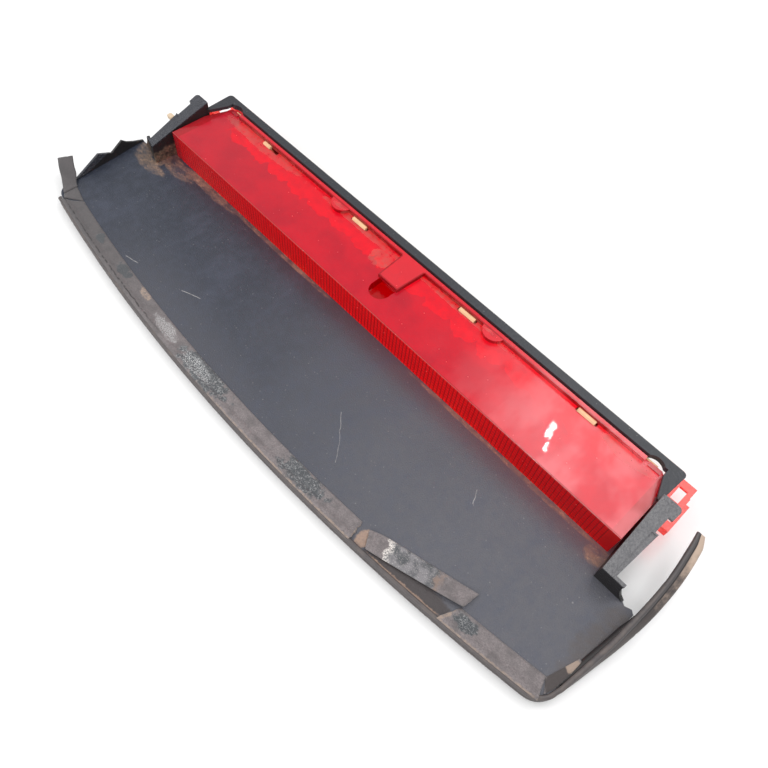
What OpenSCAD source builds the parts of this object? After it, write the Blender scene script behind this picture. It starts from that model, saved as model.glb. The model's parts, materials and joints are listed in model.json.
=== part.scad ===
// Third brake light for a rear window: a moulded shroud panel with a red lens unit in its frame.
// Millimetres, +Z up. The origin lies on the resting plane, under the middle of the lens's front face.

/* [Lens] */
// Width of the lens
lens_w = 520; // [480:1:560]
// Depth of the lens, from its front face to the back of its rim
lens_d = 62; // [58:0.5:70]
// Height of the lens above the panel
lens_h = 27.6; // [25:0.2:32]
// Wall thickness of the lens
lens_t = 2.6; // [1.8:0.1:3]
// Pitch of the flutes inside the front face
flute_pitch = 3.65; // [2.6:0.05:8]
// Depth of the flutes
flute_depth = 0.9; // [0.3:0.1:1.4]
// Smooth length at each end of the front face, outside the flutes
flute_margin = 8.5; // [4:0.5:14]
// Depth of the lens ends before they turn in
end_d = 36; // [28:0.5:42]
// How far each end turns in at the back
end_taper = 8.5; // [4:0.5:11]
// Height of the raised rim over the top face
rim_h = 4; // [2:0.1:5]
// Height of the low rib that carries on from the rim to the lens corners
low_rim_h = 1.2; // [0.6:0.1:1.8]
// Width of the raised rim
rim_w = 3.8; // [3:0.1:5]
// Distance from each end of the lens to the end of the rim
rim_end = 24; // [20:0.5:32]
// Width of the tongue at its front edge
tongue_w = 22; // [20:0.5:30]
// How much the tongue widens towards the rim
tongue_flare = 4; // [0:0.5:8]
// Distance from the lens front to the tongue's front edge
tongue_y = 29; // [26:0.5:34]
// Width of the finger pocket under the tongue
pocket_w = 19; // [14:0.5:19.5]
// Distance from the lens front to the round end of the pocket
pocket_y = 11.5; // [8:0.5:14]
// Depth of the finger pocket
pocket_depth = 8; // [4:0.5:9]
// Distance of the half-round bosses from the middle
boss_x = 90; // [86:0.5:110]
// Radius of the half-round bosses
boss_r = 10.5; // [7:0.5:12]
// Width of the lug at each end of the lens
lug_w = 24; // [20:0.5:26]
// How far the lug reaches behind the lens
lug_back = 15.5; // [12:0.5:20]
// Length of the rectangular hole in the lug
lug_hole_l = 13; // [8:0.5:15]
// Width of the rectangular hole in the lug
lug_hole_w = 6.8; // [5:0.2:8]
// Height of the lug over the panel
lug_z = 14; // [8:0.5:15]
// Reach of the latch arm forward from the lug hole
arm_l = 27; // [18:0.5:30]

/* [Lamp carrier] */
// Number of lamp cups
cup_count = 16; // [8:1:18]
// Distance from the carrier's end to the middle of the last cup
cup_margin = 30.8; // [26:0.2:40]
// Outer radius of a cup's mouth
cup_r = 7.8; // [6:0.1:8.2]
// Length of a cup
cup_l = 8.2; // [7:0.1:9]
// Wall thickness of the carrier
carrier_t = 2; // [1.4:0.1:2.2]
// Distance of the inner hooks from the middle
hook_in_x = 64; // [50:0.5:70]
// Distance of the outer hooks from the middle
hook_out_x = 186; // [150:0.5:205]
// Width of a hook
hook_w = 16.5; // [8:0.5:17.5]
// Width left of the broken hook
broken_hook_w = 9.5; // [5:0.5:16]
// Length of the lens slot around a hook
slot_l = 19.5; // [19:0.5:22]
// Width of the lens slot around a hook
slot_w = 3; // [2.8:0.1:3.4]
// Thickness of the circuit board
board_t = 1.6; // [1:0.1:1.8]
// Height of the circuit board
board_h = 16.4; // [14:0.2:16.8]
// Radius of an LED
led_r = 2.5; // [1.5:0.1:2.8]
// Distance of the inner board screws from the middle, before they move to the nearest gap between cups
board_screw_in = 57; // [40:1:70]
// Distance of the outer board screws from the middle, before they move to the nearest gap between cups
board_screw_out = 172; // [140:1:200]
// Distance of the connector socket from the middle
socket_x = 122; // [110:0.5:140]
// Width of the connector socket
socket_w = 22; // [18:0.5:26]
// Height of the connector socket
socket_h = 13; // [11:0.5:15]
// Depth of the connector socket
socket_d = 14; // [10:0.5:18]

/* [Shroud] */
// Height of the panel top over the resting plane
panel_z = 9; // [8:0.5:12]
// Thickness of the panel
panel_t = 2.8; // [2:0.1:3.5]
// Depth of the panel in front of the lens, at the middle
panel_d = 132.8; // [120:0.2:150]
// Radius of the curved front edge
front_r = 1764; // [1500:1:2600]
// How far the panel reaches past each end of the lens at the front
side_front = 31; // [28:0.5:40]
// How far it reaches past each end of the lens at the back
side_back = 39; // [36:0.5:48]
// Radius of the front corners
corner_r = 14; // [12:0.5:24]
// Depth of the lip under the front edge
lip_h = 8; // [5:0.5:8.5]
// Thickness of the lip
lip_t = 2.2; // [1.6:0.1:3]
// How far the end walls reach in front of the lens
wall_front = 21; // [16:0.5:26]
// Distance from the lens front to the back of the end walls
wall_back = 42; // [38:0.5:46]
// Height of an end wall at its front
wall_front_h = 20; // [14:0.5:26]
// Height of an end wall at its back
wall_back_h = 40; // [38:0.5:46]
// Thickness of the end walls
wall_t = 2.5; // [1.8:0.1:3]
// Angle by which the left end wall's front face falls back towards its outer edge
left_slant = 15; // [0:1:20]
// How far the panel's left back corner reaches behind the front of that wall
left_corner = 8; // [4:0.5:12]
// How far the end walls' tops reach past the lens
flange_w = 16.5; // [14:0.5:20]
// How much narrower those tops are at the front
flange_taper = 3; // [0:0.5:5]
// Width of the lower strip along their outer edge
step_w = 5.8; // [4:0.2:7]
// Drop of that lower strip
step_d = 0.9; // [0.4:0.1:1.4]
// Distance from the lens front to the notch in an end wall's top
notch_y = 18.7; // [14:0.1:22]
// Length of the notch
notch_l = 13.3; // [8:0.1:16]
// Width of the notch
notch_w = 3.8; // [2:0.1:5]
// Gap between the lens end and the wall at the front
wall_gap = 3.8; // [2:0.1:5]
// Width of the rear bar
bar_w = 7.4; // [5:0.1:10]
// Height of the rear bar
bar_h = 5; // [3.2:0.1:6]
// Thickness of the frame legs
leg_t = 3; // [2:0.1:3]
// Width of the frame legs past the lens end
leg_out = 4; // [2:0.5:6]
// How much the frame legs narrow towards the end walls
leg_taper = 2; // [0:0.5:2.5]
// Gap between the lens rim and the rear bar
bar_gap = 1.6; // [1:0.1:3]
// Radius of the round cut-outs in the frame's corners
arch_r = 9; // [6:0.5:9]
// Thickness of the ribs under the panel
rib_t = 2; // [1.4:0.1:3]
// Spacing of the ribs under the panel
rib_pitch = 84; // [60:1:84]
// Distance of the mounting bosses from the middle
post_x = 200; // [150:0.5:215]
// Distance of the mounting bosses in front of the lens
post_y = 62; // [50:0.5:75]
// Radius of a mounting boss
post_r = 5; // [4:0.1:7]
// Radius of the pilot hole in a mounting boss
post_bore_r = 1.9; // [1.2:0.05:2.4]

/* [Trim and tape] */
// Height of the rubber trim strip
trim_h = 10.2; // [7:0.1:12]
// Thickness of the rubber trim strip
trim_t = 3.4; // [2:0.1:4.5]
// Width of the felt tape
tape_w = 13.5; // [10:0.5:17]
// Thickness of the felt tape
tape_t = 0.9; // [0.4:0.1:1.5]
// Where the long length of tape ends, from the middle
tear_x = 133.5; // [100:0.5:136]
// Where the peeled length starts, from the middle
peel_x = 144; // [142:0.5:160]
// Where its loose end lies, from the middle
peel_end_x = 218; // [190:0.5:230]
// Where the next length of tape starts, from the middle
rest_x = 209; // [180:0.5:214]
// Length of the tape on the right side of the panel
side_tape_l = 25; // [15:0.5:60]
// Distance from the lens front to the pad on the left end wall
pad_y = 9; // [4:0.5:10]
// Length of the pad
pad_l = 5; // [3:0.5:6]

/* [Hidden] */
$fn = 48;

// Clearances that fits share
seat = 0.2;
slip = 0.4;
skin = 0.05;
// How far the parts of one moulding run into each other, and how far a cutter reaches past a face
join = 0.5;
past = 1;

// Places that several pieces share
hx = lens_w / 2;
lens_base = panel_z + seat;
lens_top = panel_z + lens_h;
rim_y = lens_d - rim_w;
lens_ceiling = lens_top - lens_t;
frame_gap = 2.4;
frame_base = lens_top + frame_gap;
frame_top = frame_base + leg_t;
bar_y = lens_d + bar_gap;
bar_back = bar_y + bar_w;
slot_y = rim_y - slot_w;

// Carrier: a channel that stands on the shroud floor behind the lens front
carrier_hx = hx - 14;
foot_h = 3;
foot_back = 10;
carrier_base = panel_z + seat;
tray_z = carrier_base + foot_h;
back_wall_y = lens_d + slip;
back_wall_t = 1.6;
back_wall_top = frame_top - bar_h - 0.5;
board_back = lens_d - 6;
board_y = board_back - board_t;
cup_y = board_y - seat - cup_l;
cup_z = panel_z + lens_h / 2 + 0.4;
cup_wall = 0.8;
neck_r = led_r + 2.2;
cup_pitch = 2 * (carrier_hx - cup_margin) / (cup_count - 1);
cup_xs = [for (i = [0 : cup_count - 1]) (i - (cup_count - 1) / 2) * cup_pitch];
web_t = 2;
web_top = cup_z + cup_r / 2;
board_z = tray_z + carrier_t + seat;
hook_xs = [-hook_out_x, -hook_in_x, hook_in_x, hook_out_x];
broken_hook_x = -hook_out_x - (slot_l - broken_hook_w) / 2 + slip;
hook_t = slot_w - 2 * slip;
hook_y = slot_y + slip;
hook_arm_z = lens_ceiling - 0.6 - carrier_t;
hook_lip = 0.9;
boss_xs = [-boss_x, boss_x];
screw_boss_r = 2.8;
screw_boss_y = lens_d - screw_boss_r - 0.1;
screw_r = 1.5;
screw_head_r = 2.8;
screw_head_h = 1.8;
screw_l = 14;
board_screw_xs = [for (side = [-1, 1], x = [board_screw_in, board_screw_out]) side * gap_near(x)];
board_screw_r = 1;
board_screw_head_r = 2;
board_screw_head_h = 1.4;
board_screw_l = 5;
board_post_r = 3;
wire_l = 2;
pin_t = 0.8;
pin_w = 2.8;
pin_gap = 7;
socket_wall = 1.8;

// Shroud outline: the front edge is an arc about a point far behind the panel
front_cy = front_r - panel_d;
shoulder_y = -wall_front - 1;
kept_y = -wall_front + left_corner;
side_y0 = -panel_d + 26;
flare = (side_back - side_front) / (shoulder_y - side_y0);
wall_x0 = hx + wall_gap;
wall_x1 = hx + slip;
flange_x = hx + flange_w;
rib_base = 0;
wall_slope = (wall_back_h - wall_front_h) / (wall_back + wall_front);

// The middle of the gap between two cups that lies nearest to x
function gap_near(x) =
    let (shift = cup_count % 2 * cup_pitch / 2)
    round((x - shift) / cup_pitch) * cup_pitch + shift;
function wall_z(y) = panel_z + wall_front_h + (y + wall_front) * wall_slope;
function flange_edge(y) = flange_x - flange_taper * (wall_back - y) / (wall_back + wall_front);
function edge_y(x, inset) = front_cy - sqrt(pow(front_r - inset, 2) - x * x);
function side_x(y, inset) = hx + side_front + (y - side_y0) * flare - inset;
function unit(v) = v / norm(v);
function reversed(list) = [for (i = [len(list) - 1 : -1 : 0]) list[i]];
function flipped(list) = [for (p = reversed(list)) [-p[0], p[1]]];

// Points of the arc of radius r that rounds the corner at p between its neighbours a and b
function corner_arc(p, a, b, r, n = 6) =
    let (u = unit(a - p), v = unit(b - p), h = acos(u * v) / 2, c = p + unit(u + v) * r / sin(h),
         s = p + u * r / tan(h) - c, e = p + v * r / tan(h) - c, a0 = atan2(s[1], s[0]),
         turn = atan2(s[0] * e[1] - s[1] * e[0], s * e))
    [for (i = [0 : n]) c + r * [cos(a0 + turn * i / n), sin(a0 + turn * i / n)]];

// A polygon with each corner [x, y, r] rounded by its own radius
function rounded(pts, n = 6) =
    [for (i = [0 : len(pts) - 1])
        let (n_pts = len(pts), q = pts[i], p = [q[0], q[1]], a = pts[(i + n_pts - 1) % n_pts],
             b = pts[(i + 1) % n_pts])
        each q[2] > 0 ? corner_arc(p, [a[0], a[1]], [b[0], b[1]], q[2], n) : [p]];

// Where the front arc meets the side edge, found by a few fixed-point steps
function corner_y(inset, y, n) = n == 0 ? y : corner_y(inset, edge_y(side_x(y, inset), inset), n - 1);
function corner_at(inset) = let (y = corner_y(inset, side_y0, 6)) [side_x(y, inset), y];

// Right half of the panel edge, from the middle of the front to the back shoulder
front_steps = 20;
corner_steps = 8;
function half_edge(inset) =
    let (v = corner_at(inset), r = corner_r - inset, far = [side_x(shoulder_y, inset), shoulder_y],
         round_pts = corner_arc(v, [v[0] - 40, edge_y(v[0] - 40, inset)], far, r, corner_steps),
         x1 = round_pts[0][0] - 1, front = [for (i = [0 : front_steps]) x1 * i / front_steps])
    concat([for (x = front) [x, edge_y(x, inset)]], round_pts, [far]);
function panel_edge(inset) =
    let (half = half_edge(inset), other = flipped(half))
    concat([for (i = [0 : len(other) - 2]) other[i]], half);

// A profile drawn in Y and Z, extruded from x0 to x1
module along_x(x0, x1, pts) {
    translate([x0, 0, 0])
        rotate([90, 0, 90])
            linear_extrude(x1 - x0)
                polygon(pts);
}

// A profile drawn in X and Z, extruded from y0 to y1
module along_y(y0, y1, pts) {
    translate([0, y1, 0])
        rotate([90, 0, 0])
            linear_extrude(y1 - y0)
                polygon(pts);
}

module block(x0, x1, y0, y1, z0, z1) {
    translate([x0, y0, z0])
        cube([x1 - x0, y1 - y0, z1 - z0]);
}

module slab(z0, z1, pts) {
    translate([0, 0, z0])
        linear_extrude(z1 - z0)
            polygon(pts);
}

module both_ends() {
    children();
    mirror([1, 0, 0])
        children();
}

// Shroud: floor, lip, end walls, frame and ribs of one moulding
floor_x = hx + 8;
floor_back = lens_d - 1;
// Ragged back edge beside the right end wall, from the shoulder corner inwards
ragged = [[-3, 2.5], [-8, 0.6], [-13, 3.6], [-17, 1.4]];

module panel_floor() {
    shoulder = side_x(shoulder_y, 0);
    torn = [for (p = ragged) [shoulder + p[0], shoulder_y + p[1]]];
    slab(panel_z - panel_t, panel_z,
         concat(panel_edge(0), torn,
                [[floor_x, shoulder_y + 3], [floor_x, floor_back], [-floor_x, floor_back],
                 [-floor_x, kept_y], [-side_x(kept_y, 0), kept_y]]));
    slab(panel_z - lip_h, panel_z - panel_t + join, concat(panel_edge(0), reversed(panel_edge(lip_t))));
}

module wall_envelope(drop0, drop1, x0, x1, y1) {
    along_x(x0, x1, [[-wall_front, wall_z(-wall_front) - drop0], [y1, wall_z(y1) - drop0],
                     [y1, wall_z(y1) - drop1], [-wall_front, wall_z(-wall_front) - drop1]]);
}

module wall_top(broken, slant) {
    step_x = flange_x - step_w;
    top = panel_z + wall_back_h + past;
    front_x = flange_x - flange_taper;
    front_y = -wall_front + (front_x - wall_x0) * tan(slant);
    difference() {
        intersection() {
            slab(panel_z, top,
                 rounded([[wall_x0, -wall_front, 0.8], [front_x, front_y, 0.8], [flange_x, wall_back, 3.5],
                          [wall_x1, wall_back, 1.5]]));
            wall_envelope(wall_t, 0, wall_x1 - past, flange_x + past, wall_back);
        }
        wall_envelope(step_d, -3, step_x, flange_x + past, notch_y - broken - 1);
        block(flange_x - notch_w, flange_x + past, notch_y - broken, notch_y + notch_l, panel_z, top);
    }
}

// broken is how much the notch has torn open, torn is the ragged outer edge of the front face, and slant
// the angle at which that face falls back
module end_wall(broken, torn, slant) {
    intersection() {
        slab(panel_z - join, panel_z + wall_back_h + past,
             [[wall_x0, -wall_front], [wall_x1, wall_back], [wall_x1 + wall_t, wall_back],
              [wall_x0 + wall_t, -wall_front]]);
        along_x(wall_x1 - past, wall_x0 + wall_t + past,
                [[-wall_front, panel_z - join], [wall_back, panel_z - join],
                 [wall_back, wall_z(wall_back) - join], [-wall_front, wall_z(-wall_front) - join]]);
    }
    wall_top(broken, slant);
    translate([wall_x0 + wall_t * sin(slant), -wall_front, 0])
        rotate([0, 0, slant])
            along_y(0, wall_t,
                    concat([[0, panel_z + wall_front_h], [0, panel_z - join]],
                           [for (p = torn) [flange_x - wall_x0 + p[0], panel_z + p[1] * wall_front_h]]));
    intersection() {
        block(wall_x1 + slip, flange_x - 3.5, wall_back - wall_t, wall_back, frame_base, wall_z(wall_back));
        wall_envelope(wall_t * 8, join, wall_x1, flange_x, wall_back);
    }
}

module rear_frame() {
    leg_y = wall_back - wall_t;
    leg_in = hx - end_taper + 0.6;
    outer_x = hx + leg_out;
    front_x = outer_x - leg_taper;
    difference() {
        union() {
            slab(frame_base, frame_top,
                 rounded([[-front_x, leg_y, 0], [front_x, leg_y, 0], [outer_x, bar_back, 3.5],
                          [-outer_x, bar_back, 3.5]]));
            block(-outer_x + 4, outer_x - 4, bar_y, bar_back, frame_top - bar_h, frame_base + join);
        }
        slab(frame_base - 9, frame_top + 1,
             [[-hx, leg_y - 1], [hx, leg_y - 1], [hx - 0.6, leg_y], [leg_in, lens_d - 4], [leg_in, bar_y],
              [-leg_in, bar_y], [-leg_in, lens_d - 4], [-hx + 0.6, leg_y]]);
        both_ends()
            translate([leg_in - arch_r, lens_d - 4.5, frame_base - 9])
                cylinder(r = arch_r, h = 30);
    }
}

// What is left of the low side wall at the left, with a broken top: share of the side edge from the
// shoulder to the front corner, and height over the panel
left_profile = [[0.012, 5], [0.092, 8.6], [0.15, 13.2], [0.306, 6.4], [0.323, 7.4], [0.456, 13.1], [0.75, 2],
                [0.83, -join]];

module side_wall(profile) {
    lean = atan(flare);
    run = shoulder_y - corner_at(0)[1];
    back = kept_y - shoulder_y;
    pts = concat([[back, -join], [back, past]], [for (p = profile) [-p[0] * run, p[1]]]);
    translate([side_x(shoulder_y, 0) - lip_t, shoulder_y, 0])
        rotate([0, 0, -lean])
            along_x(0, lip_t - seat, [for (p = pts) [p[0], panel_z + p[1]]]);
}

module ribs() {
    rib_top = panel_z - panel_t + join;
    cross_z = 3;
    cross_front = -panel_d + 40;
    for (y = [0, floor_back - rib_t])
        block(-hx + 5, hx - 5, y - rib_t, y + rib_t, rib_base, rib_top);
    for (i = [-3 : 3])
        translate([i * rib_pitch, 0, 0])
            block(-rib_t / 2, rib_t / 2, cross_front, floor_back - 1, cross_z, rib_top);
    block(-hx + 5, hx - 5, -post_y - rib_t / 2, -post_y + rib_t / 2, cross_z, rib_top);
    for (x = [-post_x, post_x])
        translate([x, -post_y, rib_base + 1])
            cylinder(r = post_r, h = rib_top - rib_base - 1);
}

module shroud() {
    color([0.20, 0.22, 0.25])
        difference() {
            union() {
                panel_floor();
                ribs();
                end_wall(0, [[12, 0], [8, 0.22], [5.5, 0.52], [5, 0.85], [5.4, 1]], 0);
                mirror([1, 0, 0])
                    end_wall(2.7, [[17, 0], [13, 0.2], [7, 0.55], [4, 0.88], [2, 1]], left_slant);
                rear_frame();
                mirror([1, 0, 0])
                    side_wall(left_profile);
            }
            for (x = [-post_x, post_x])
                translate([x, -post_y, 0])
                    cylinder(r = post_bore_r, h = panel_z - 1.2);
        }
}

// Lens: a cover with no floor and no back, and flutes inside its front face
function lens_outline(inset, back) =
    let (k = end_taper / (lens_d - end_d), x1 = hx - inset - (back - end_d) * k)
    [[hx - inset, end_d], [x1, back], [-x1, back], [-hx + inset, end_d]];
flute_steps = 4;

module lens_shell() {
    in_x = hx - lens_t;
    n = floor(2 * (hx - flute_margin) / flute_pitch);
    x0 = -n * flute_pitch / 2;
    flutes = [for (i = [0 : n * flute_steps])
                 let (u = (i % flute_steps) / flute_steps)
                 [x0 + i * flute_pitch / flute_steps, lens_t - flute_depth * 4 * u * (1 - u) + flute_depth]];
    difference() {
        slab(lens_base, lens_top, concat([[-hx, 0], [hx, 0]], lens_outline(0, lens_d)));
        slab(lens_base - 1, lens_ceiling,
             concat([[-in_x, lens_t]], flutes, [[in_x, lens_t]], lens_outline(lens_t, lens_d + 1)));
    }
}

module tongue_plan(inset, z0, z1) {
    w0 = tongue_w / 2 - inset;
    w1 = (tongue_w + tongue_flare) / 2 - inset;
    slab(z0, z1, [[-w0, tongue_y + inset], [w0, tongue_y + inset], [w1, rim_y + join], [-w1, rim_y + join]]);
}

module pocket_plan(grow, z0, z1) {
    r = pocket_w / 2 + grow;
    yc = pocket_y + pocket_w / 2;
    translate([0, yc, z0])
        cylinder(r = r, h = z1 - z0);
    block(-r, r, yc, tongue_y + 4 + grow, z0, z1);
}

module lens_lug() {
    t = 2.5;
    bridge = 6.5;
    hole_gap = 5.6;
    edge_w = 3.8;
    arm_t = 2.9;
    arm_drop = 5;
    tab_l = 7;
    tab_w = 6.9;
    neck_l = 10;
    y1 = lens_d + lug_back;
    hole_y1 = y1 - bridge;
    hole_y0 = hole_y1 - lug_hole_l;
    hole_x0 = hx + hole_gap;
    x1 = hole_x0 + lug_hole_w + edge_w;
    arm_x = x1 + 0.6;
    arm_y = hole_y0 + 4;
    z0 = panel_z + lug_z;
    difference() {
        slab(z0, z0 + t,
             [[x1 - lug_w, lens_d - 1], [x1 - lug_w, y1], [x1, y1], [x1, y1 - neck_l], [arm_x, y1 - neck_l],
              [arm_x, arm_y], [arm_x + arm_t, arm_y], [arm_x + arm_t, arm_y - neck_l],
              [hx - end_taper * 0.55, arm_y - neck_l], [hx - end_taper + seat, lens_d - 1]]);
        block(hole_x0, hole_x0 + lug_hole_w, hole_y0, hole_y1, z0 - past, z0 + t + past);
    }
    block(arm_x, arm_x + arm_t, arm_y - arm_l, arm_y, z0 - arm_drop, z0 + t);
    block(arm_x + arm_t - tab_w, arm_x + arm_t, arm_y - arm_l, arm_y - arm_l + tab_l, z0 - arm_drop, z0 + t);
}

module lens() {
    color([0.75, 0.04, 0.08, 0.75])
        difference() {
            union() {
                lens_shell();
                block(-hx + rim_end, hx - rim_end, rim_y, lens_d, lens_ceiling, lens_top + rim_h);
                both_ends()
                    block(hx - rim_end + rim_w, hx - end_taper - 1, rim_y, lens_d, lens_ceiling,
                          lens_top + low_rim_h);
                tongue_plan(0, lens_ceiling, lens_top + rim_h);
                pocket_plan(lens_t - 0.4, lens_top - pocket_depth - 2.2, lens_ceiling + join);
                for (x = boss_xs) {
                    intersection() {
                        translate([x, lens_d - 1.5, lens_ceiling])
                            cylinder(r = boss_r, h = lens_t + rim_h);
                        block(x - boss_r, x + boss_r, 0, lens_d, lens_ceiling, lens_top + rim_h);
                    }
                    translate([x, screw_boss_y, tray_z + carrier_t + seat])
                        cylinder(r = screw_boss_r, h = lens_ceiling - tray_z - carrier_t);
                }
                both_ends()
                    lens_lug();
            }
            tongue_plan(lens_t, lens_ceiling - 0.1, lens_top + rim_h - 2.2);
            pocket_plan(0, lens_top - pocket_depth, lens_top + 0.01);
            for (x = hook_xs)
                block(x - slot_l / 2, x + slot_l / 2, slot_y, rim_y, lens_ceiling - 1, lens_top + 1);
            for (x = boss_xs)
                translate([x, screw_boss_y, tray_z])
                    cylinder(r = screw_r + skin, h = screw_l + 1);
        }
}

// Carrier: one beige moulding with a row of bell-shaped cups
cup_steps = 6;

function bell(t, neck) =
    [for (i = [0 : cup_steps])
        let (u = i / cup_steps) [neck + t + (cup_r - cup_wall - neck) * sqrt(1 - u), u * (cup_l - 1.8)]];

module cup_outside() {
    rotate_extrude()
        polygon(concat([[0, 0]], bell(cup_wall, neck_r - cup_wall), [[neck_r, cup_l], [0, cup_l]]));
}

module cup_inside() {
    rotate_extrude()
        polygon(concat([[0, -1], [cup_r - cup_wall, -1]], bell(0, neck_r - cup_wall - 0.4),
                       [[neck_r - cup_wall - 0.4, cup_l + 1], [0, cup_l + 1]]));
}

module at_cups() {
    for (x = cup_xs)
        translate([x, cup_y, cup_z])
            rotate([-90, 0, 0])
                children();
}

module hook(x, w) {
    x0 = x - w / 2;
    top = lens_top + 2;
    along_x(x0, x0 + w,
            [[hook_y, hook_arm_z], [back_wall_y + join, hook_arm_z],
             [back_wall_y + join, hook_arm_z + carrier_t], [hook_y + hook_t, hook_arm_z + carrier_t],
             [hook_y + hook_t, top], [hook_y, top],
             [hook_y - hook_lip, lens_top + seat + 0.3], [hook_y - hook_lip, lens_top + seat],
             [hook_y, lens_top + seat]]);
}

// The two contact pins, grown on all sides for the holes that they pass through
module pin_bars(grow, y0, y1) {
    w = pin_w / 2 + grow;
    t = pin_t / 2 + grow;
    for (x = [socket_x - pin_gap / 2, socket_x + pin_gap / 2])
        block(x - w, x + w, y0, y1, cup_z - t, cup_z + t);
}

module lamp_carrier() {
    back = back_wall_y + back_wall_t;
    color([0.88, 0.74, 0.55])
        difference() {
            union() {
                block(-carrier_hx, carrier_hx, cup_y, back, tray_z, tray_z + carrier_t);
                block(-carrier_hx, carrier_hx, cup_y, cup_y + web_t, tray_z, web_top);
                block(-carrier_hx, carrier_hx, back_wall_y, back, tray_z, back_wall_top);
                for (y = [cup_y, lens_d - foot_back])
                    block(-carrier_hx, carrier_hx, y, y + carrier_t, carrier_base, tray_z + join);
                both_ends()
                    block(carrier_hx - carrier_t, carrier_hx, cup_y, back, tray_z, board_z + board_h);
                for (x = board_screw_xs)
                    translate([x, cup_y, cup_z])
                        rotate([-90, 0, 0])
                            cylinder(r = board_post_r, h = cup_l);
                at_cups()
                    cup_outside();
                hook(broken_hook_x, broken_hook_w);
                for (i = [1 : 3])
                    hook(hook_xs[i], hook_w);
            }
            at_cups()
                cup_inside();
            for (x = board_screw_xs)
                translate([x, cup_y + 2.5, cup_z])
                    rotate([-90, 0, 0])
                        cylinder(r = board_screw_r + skin, h = cup_l);
            for (x = boss_xs)
                translate([x, screw_boss_y, carrier_base - 1])
                    cylinder(r = screw_r + 0.3, h = 20);
            pin_bars(seat, back_wall_y - 1, back + 1);
        }
}

module led_board() {
    board_hx = carrier_hx - carrier_t - slip;
    color([0.25, 0.45, 0.20])
        difference() {
            block(-board_hx, board_hx, board_y, board_back, board_z, board_z + board_h);
            for (x = board_screw_xs)
                translate([x, board_y - 1, cup_z])
                    rotate([-90, 0, 0])
                        cylinder(r = board_screw_r + seat, h = board_t + 2);
            pin_bars(skin, board_y - 1, board_back + 1);
        }
}

module leds() {
    base_h = 1;
    body_h = 5;
    color([0.85, 0.20, 0.20])
        for (x = cup_xs)
            translate([x, board_y - skin, cup_z])
                rotate([90, 0, 0]) {
                    cylinder(r = led_r + 0.4, h = base_h);
                    cylinder(r = led_r, h = body_h);
                    translate([0, 0, body_h])
                        sphere(r = led_r);
                }
}

// A small part with wire ends that lies along the back of the board
module wired_part(x, z, body_r, body_l, wire_r) {
    translate([x - body_l / 2, board_back + body_r + skin, z])
        rotate([0, 90, 0]) {
            cylinder(r = body_r, h = body_l);
            translate([0, 0, -wire_l])
                cylinder(r = wire_r, h = body_l + 2 * wire_l);
        }
}

module resistors() {
    body_l = 6.3;
    clear = screw_boss_r + body_l / 2 + wire_l + slip;
    color([0.80, 0.70, 0.50])
        for (i = [0 : 2 : cup_count - 1])
            if (min([for (x = boss_xs) abs(cup_xs[i] - x)]) > clear)
                wired_part(cup_xs[i], cup_z - 5, 1.1, body_l, 0.3);
}

module diode() {
    color([0.12, 0.12, 0.13])
        wired_part(socket_x + socket_w / 2 + 6, cup_z, 1.3, 5, 0.4);
}

module board_screws() {
    color([0.60, 0.60, 0.62])
        for (x = board_screw_xs)
            translate([x, board_back + skin, cup_z])
                rotate([90, 0, 0]) {
                    translate([0, 0, -board_screw_head_h])
                        cylinder(r = board_screw_head_r, h = board_screw_head_h);
                    cylinder(r = board_screw_r, h = board_t + board_screw_l);
                }
}

module lens_screws() {
    color([0.60, 0.60, 0.62])
        for (x = boss_xs)
            translate([x, screw_boss_y, tray_z - skin]) {
                translate([0, 0, -screw_head_h])
                    cylinder(r = screw_head_r, h = screw_head_h);
                cylinder(r = screw_r, h = screw_l);
            }
}

module connector_socket() {
    y0 = back_wall_y + back_wall_t + skin;
    w = socket_w / 2;
    h = socket_h / 2;
    in_w = w - socket_wall;
    in_h = h - socket_wall;
    color([0.10, 0.10, 0.11])
        difference() {
            block(socket_x - w, socket_x + w, y0, y0 + socket_d, cup_z - h, cup_z + h);
            block(socket_x - in_w, socket_x + in_w, y0 + socket_wall, y0 + socket_d + 1, cup_z - in_h,
                  cup_z + in_h);
            pin_bars(skin, y0 - 1, y0 + socket_wall + 1);
        }
}

module connector_pins() {
    y1 = back_wall_y + back_wall_t + socket_d / 2;
    color([0.80, 0.75, 0.55])
        pin_bars(0, board_y + 0.2, y1);
}

// Rubber trim: a strip swept round the panel edge, its lower edge in the resting plane, that turns flat along
// its loose tail
trim_gap = 0.25;

// The loose tail: distance behind the rounded corner, reach past the panel edge, rise, roll in degrees and
// share of the depth
tail = [[4, 0.2, 0.2, 3, 1], [18, 0.3, 1.6, 8, 0.95], [34, 0.4, 4, 16, 0.9], [50, 0.4, 7.5, 26, 0.85],
        [64, 0.5, 10.5, 37, 0.82], [76, 0.6, 12.5, 47, 0.8], [89, -0.2, 14.8, 54, 0.78],
        [102, -1.8, 17, 59, 0.76], [114, -4.2, 19, 63, 0.72], [126, -7.4, 21, 66, 0.68],
        [134, -10, 22.4, 68, 0.6], [140, -12.2, 23.4, 70, 0.35]];

function strip_end(route) =
    let (half = half_edge(-trim_gap), corner = half[len(half) - 2])
    [for (p = route) let (y = corner[1] + p[0]) [side_x(y, -trim_gap) + p[1], y, trim_h + p[2], p[3], p[4]]];
function edge_run(half) = [for (i = [0 : len(half) - 2]) [half[i][0], half[i][1], trim_h, 0, 1]];
function flip_run(run) = [for (p = reversed(run)) [-p[0], p[1], p[2], p[3], p[4]]];

// The strip starts where the left corner starts to round, and ends in the tail at the right
function trim_route() =
    let (half = edge_run(half_edge(-trim_gap)), other = flip_run(half))
    concat([for (i = [corner_steps : len(other) - 2]) other[i]], half, strip_end(tail));

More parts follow.
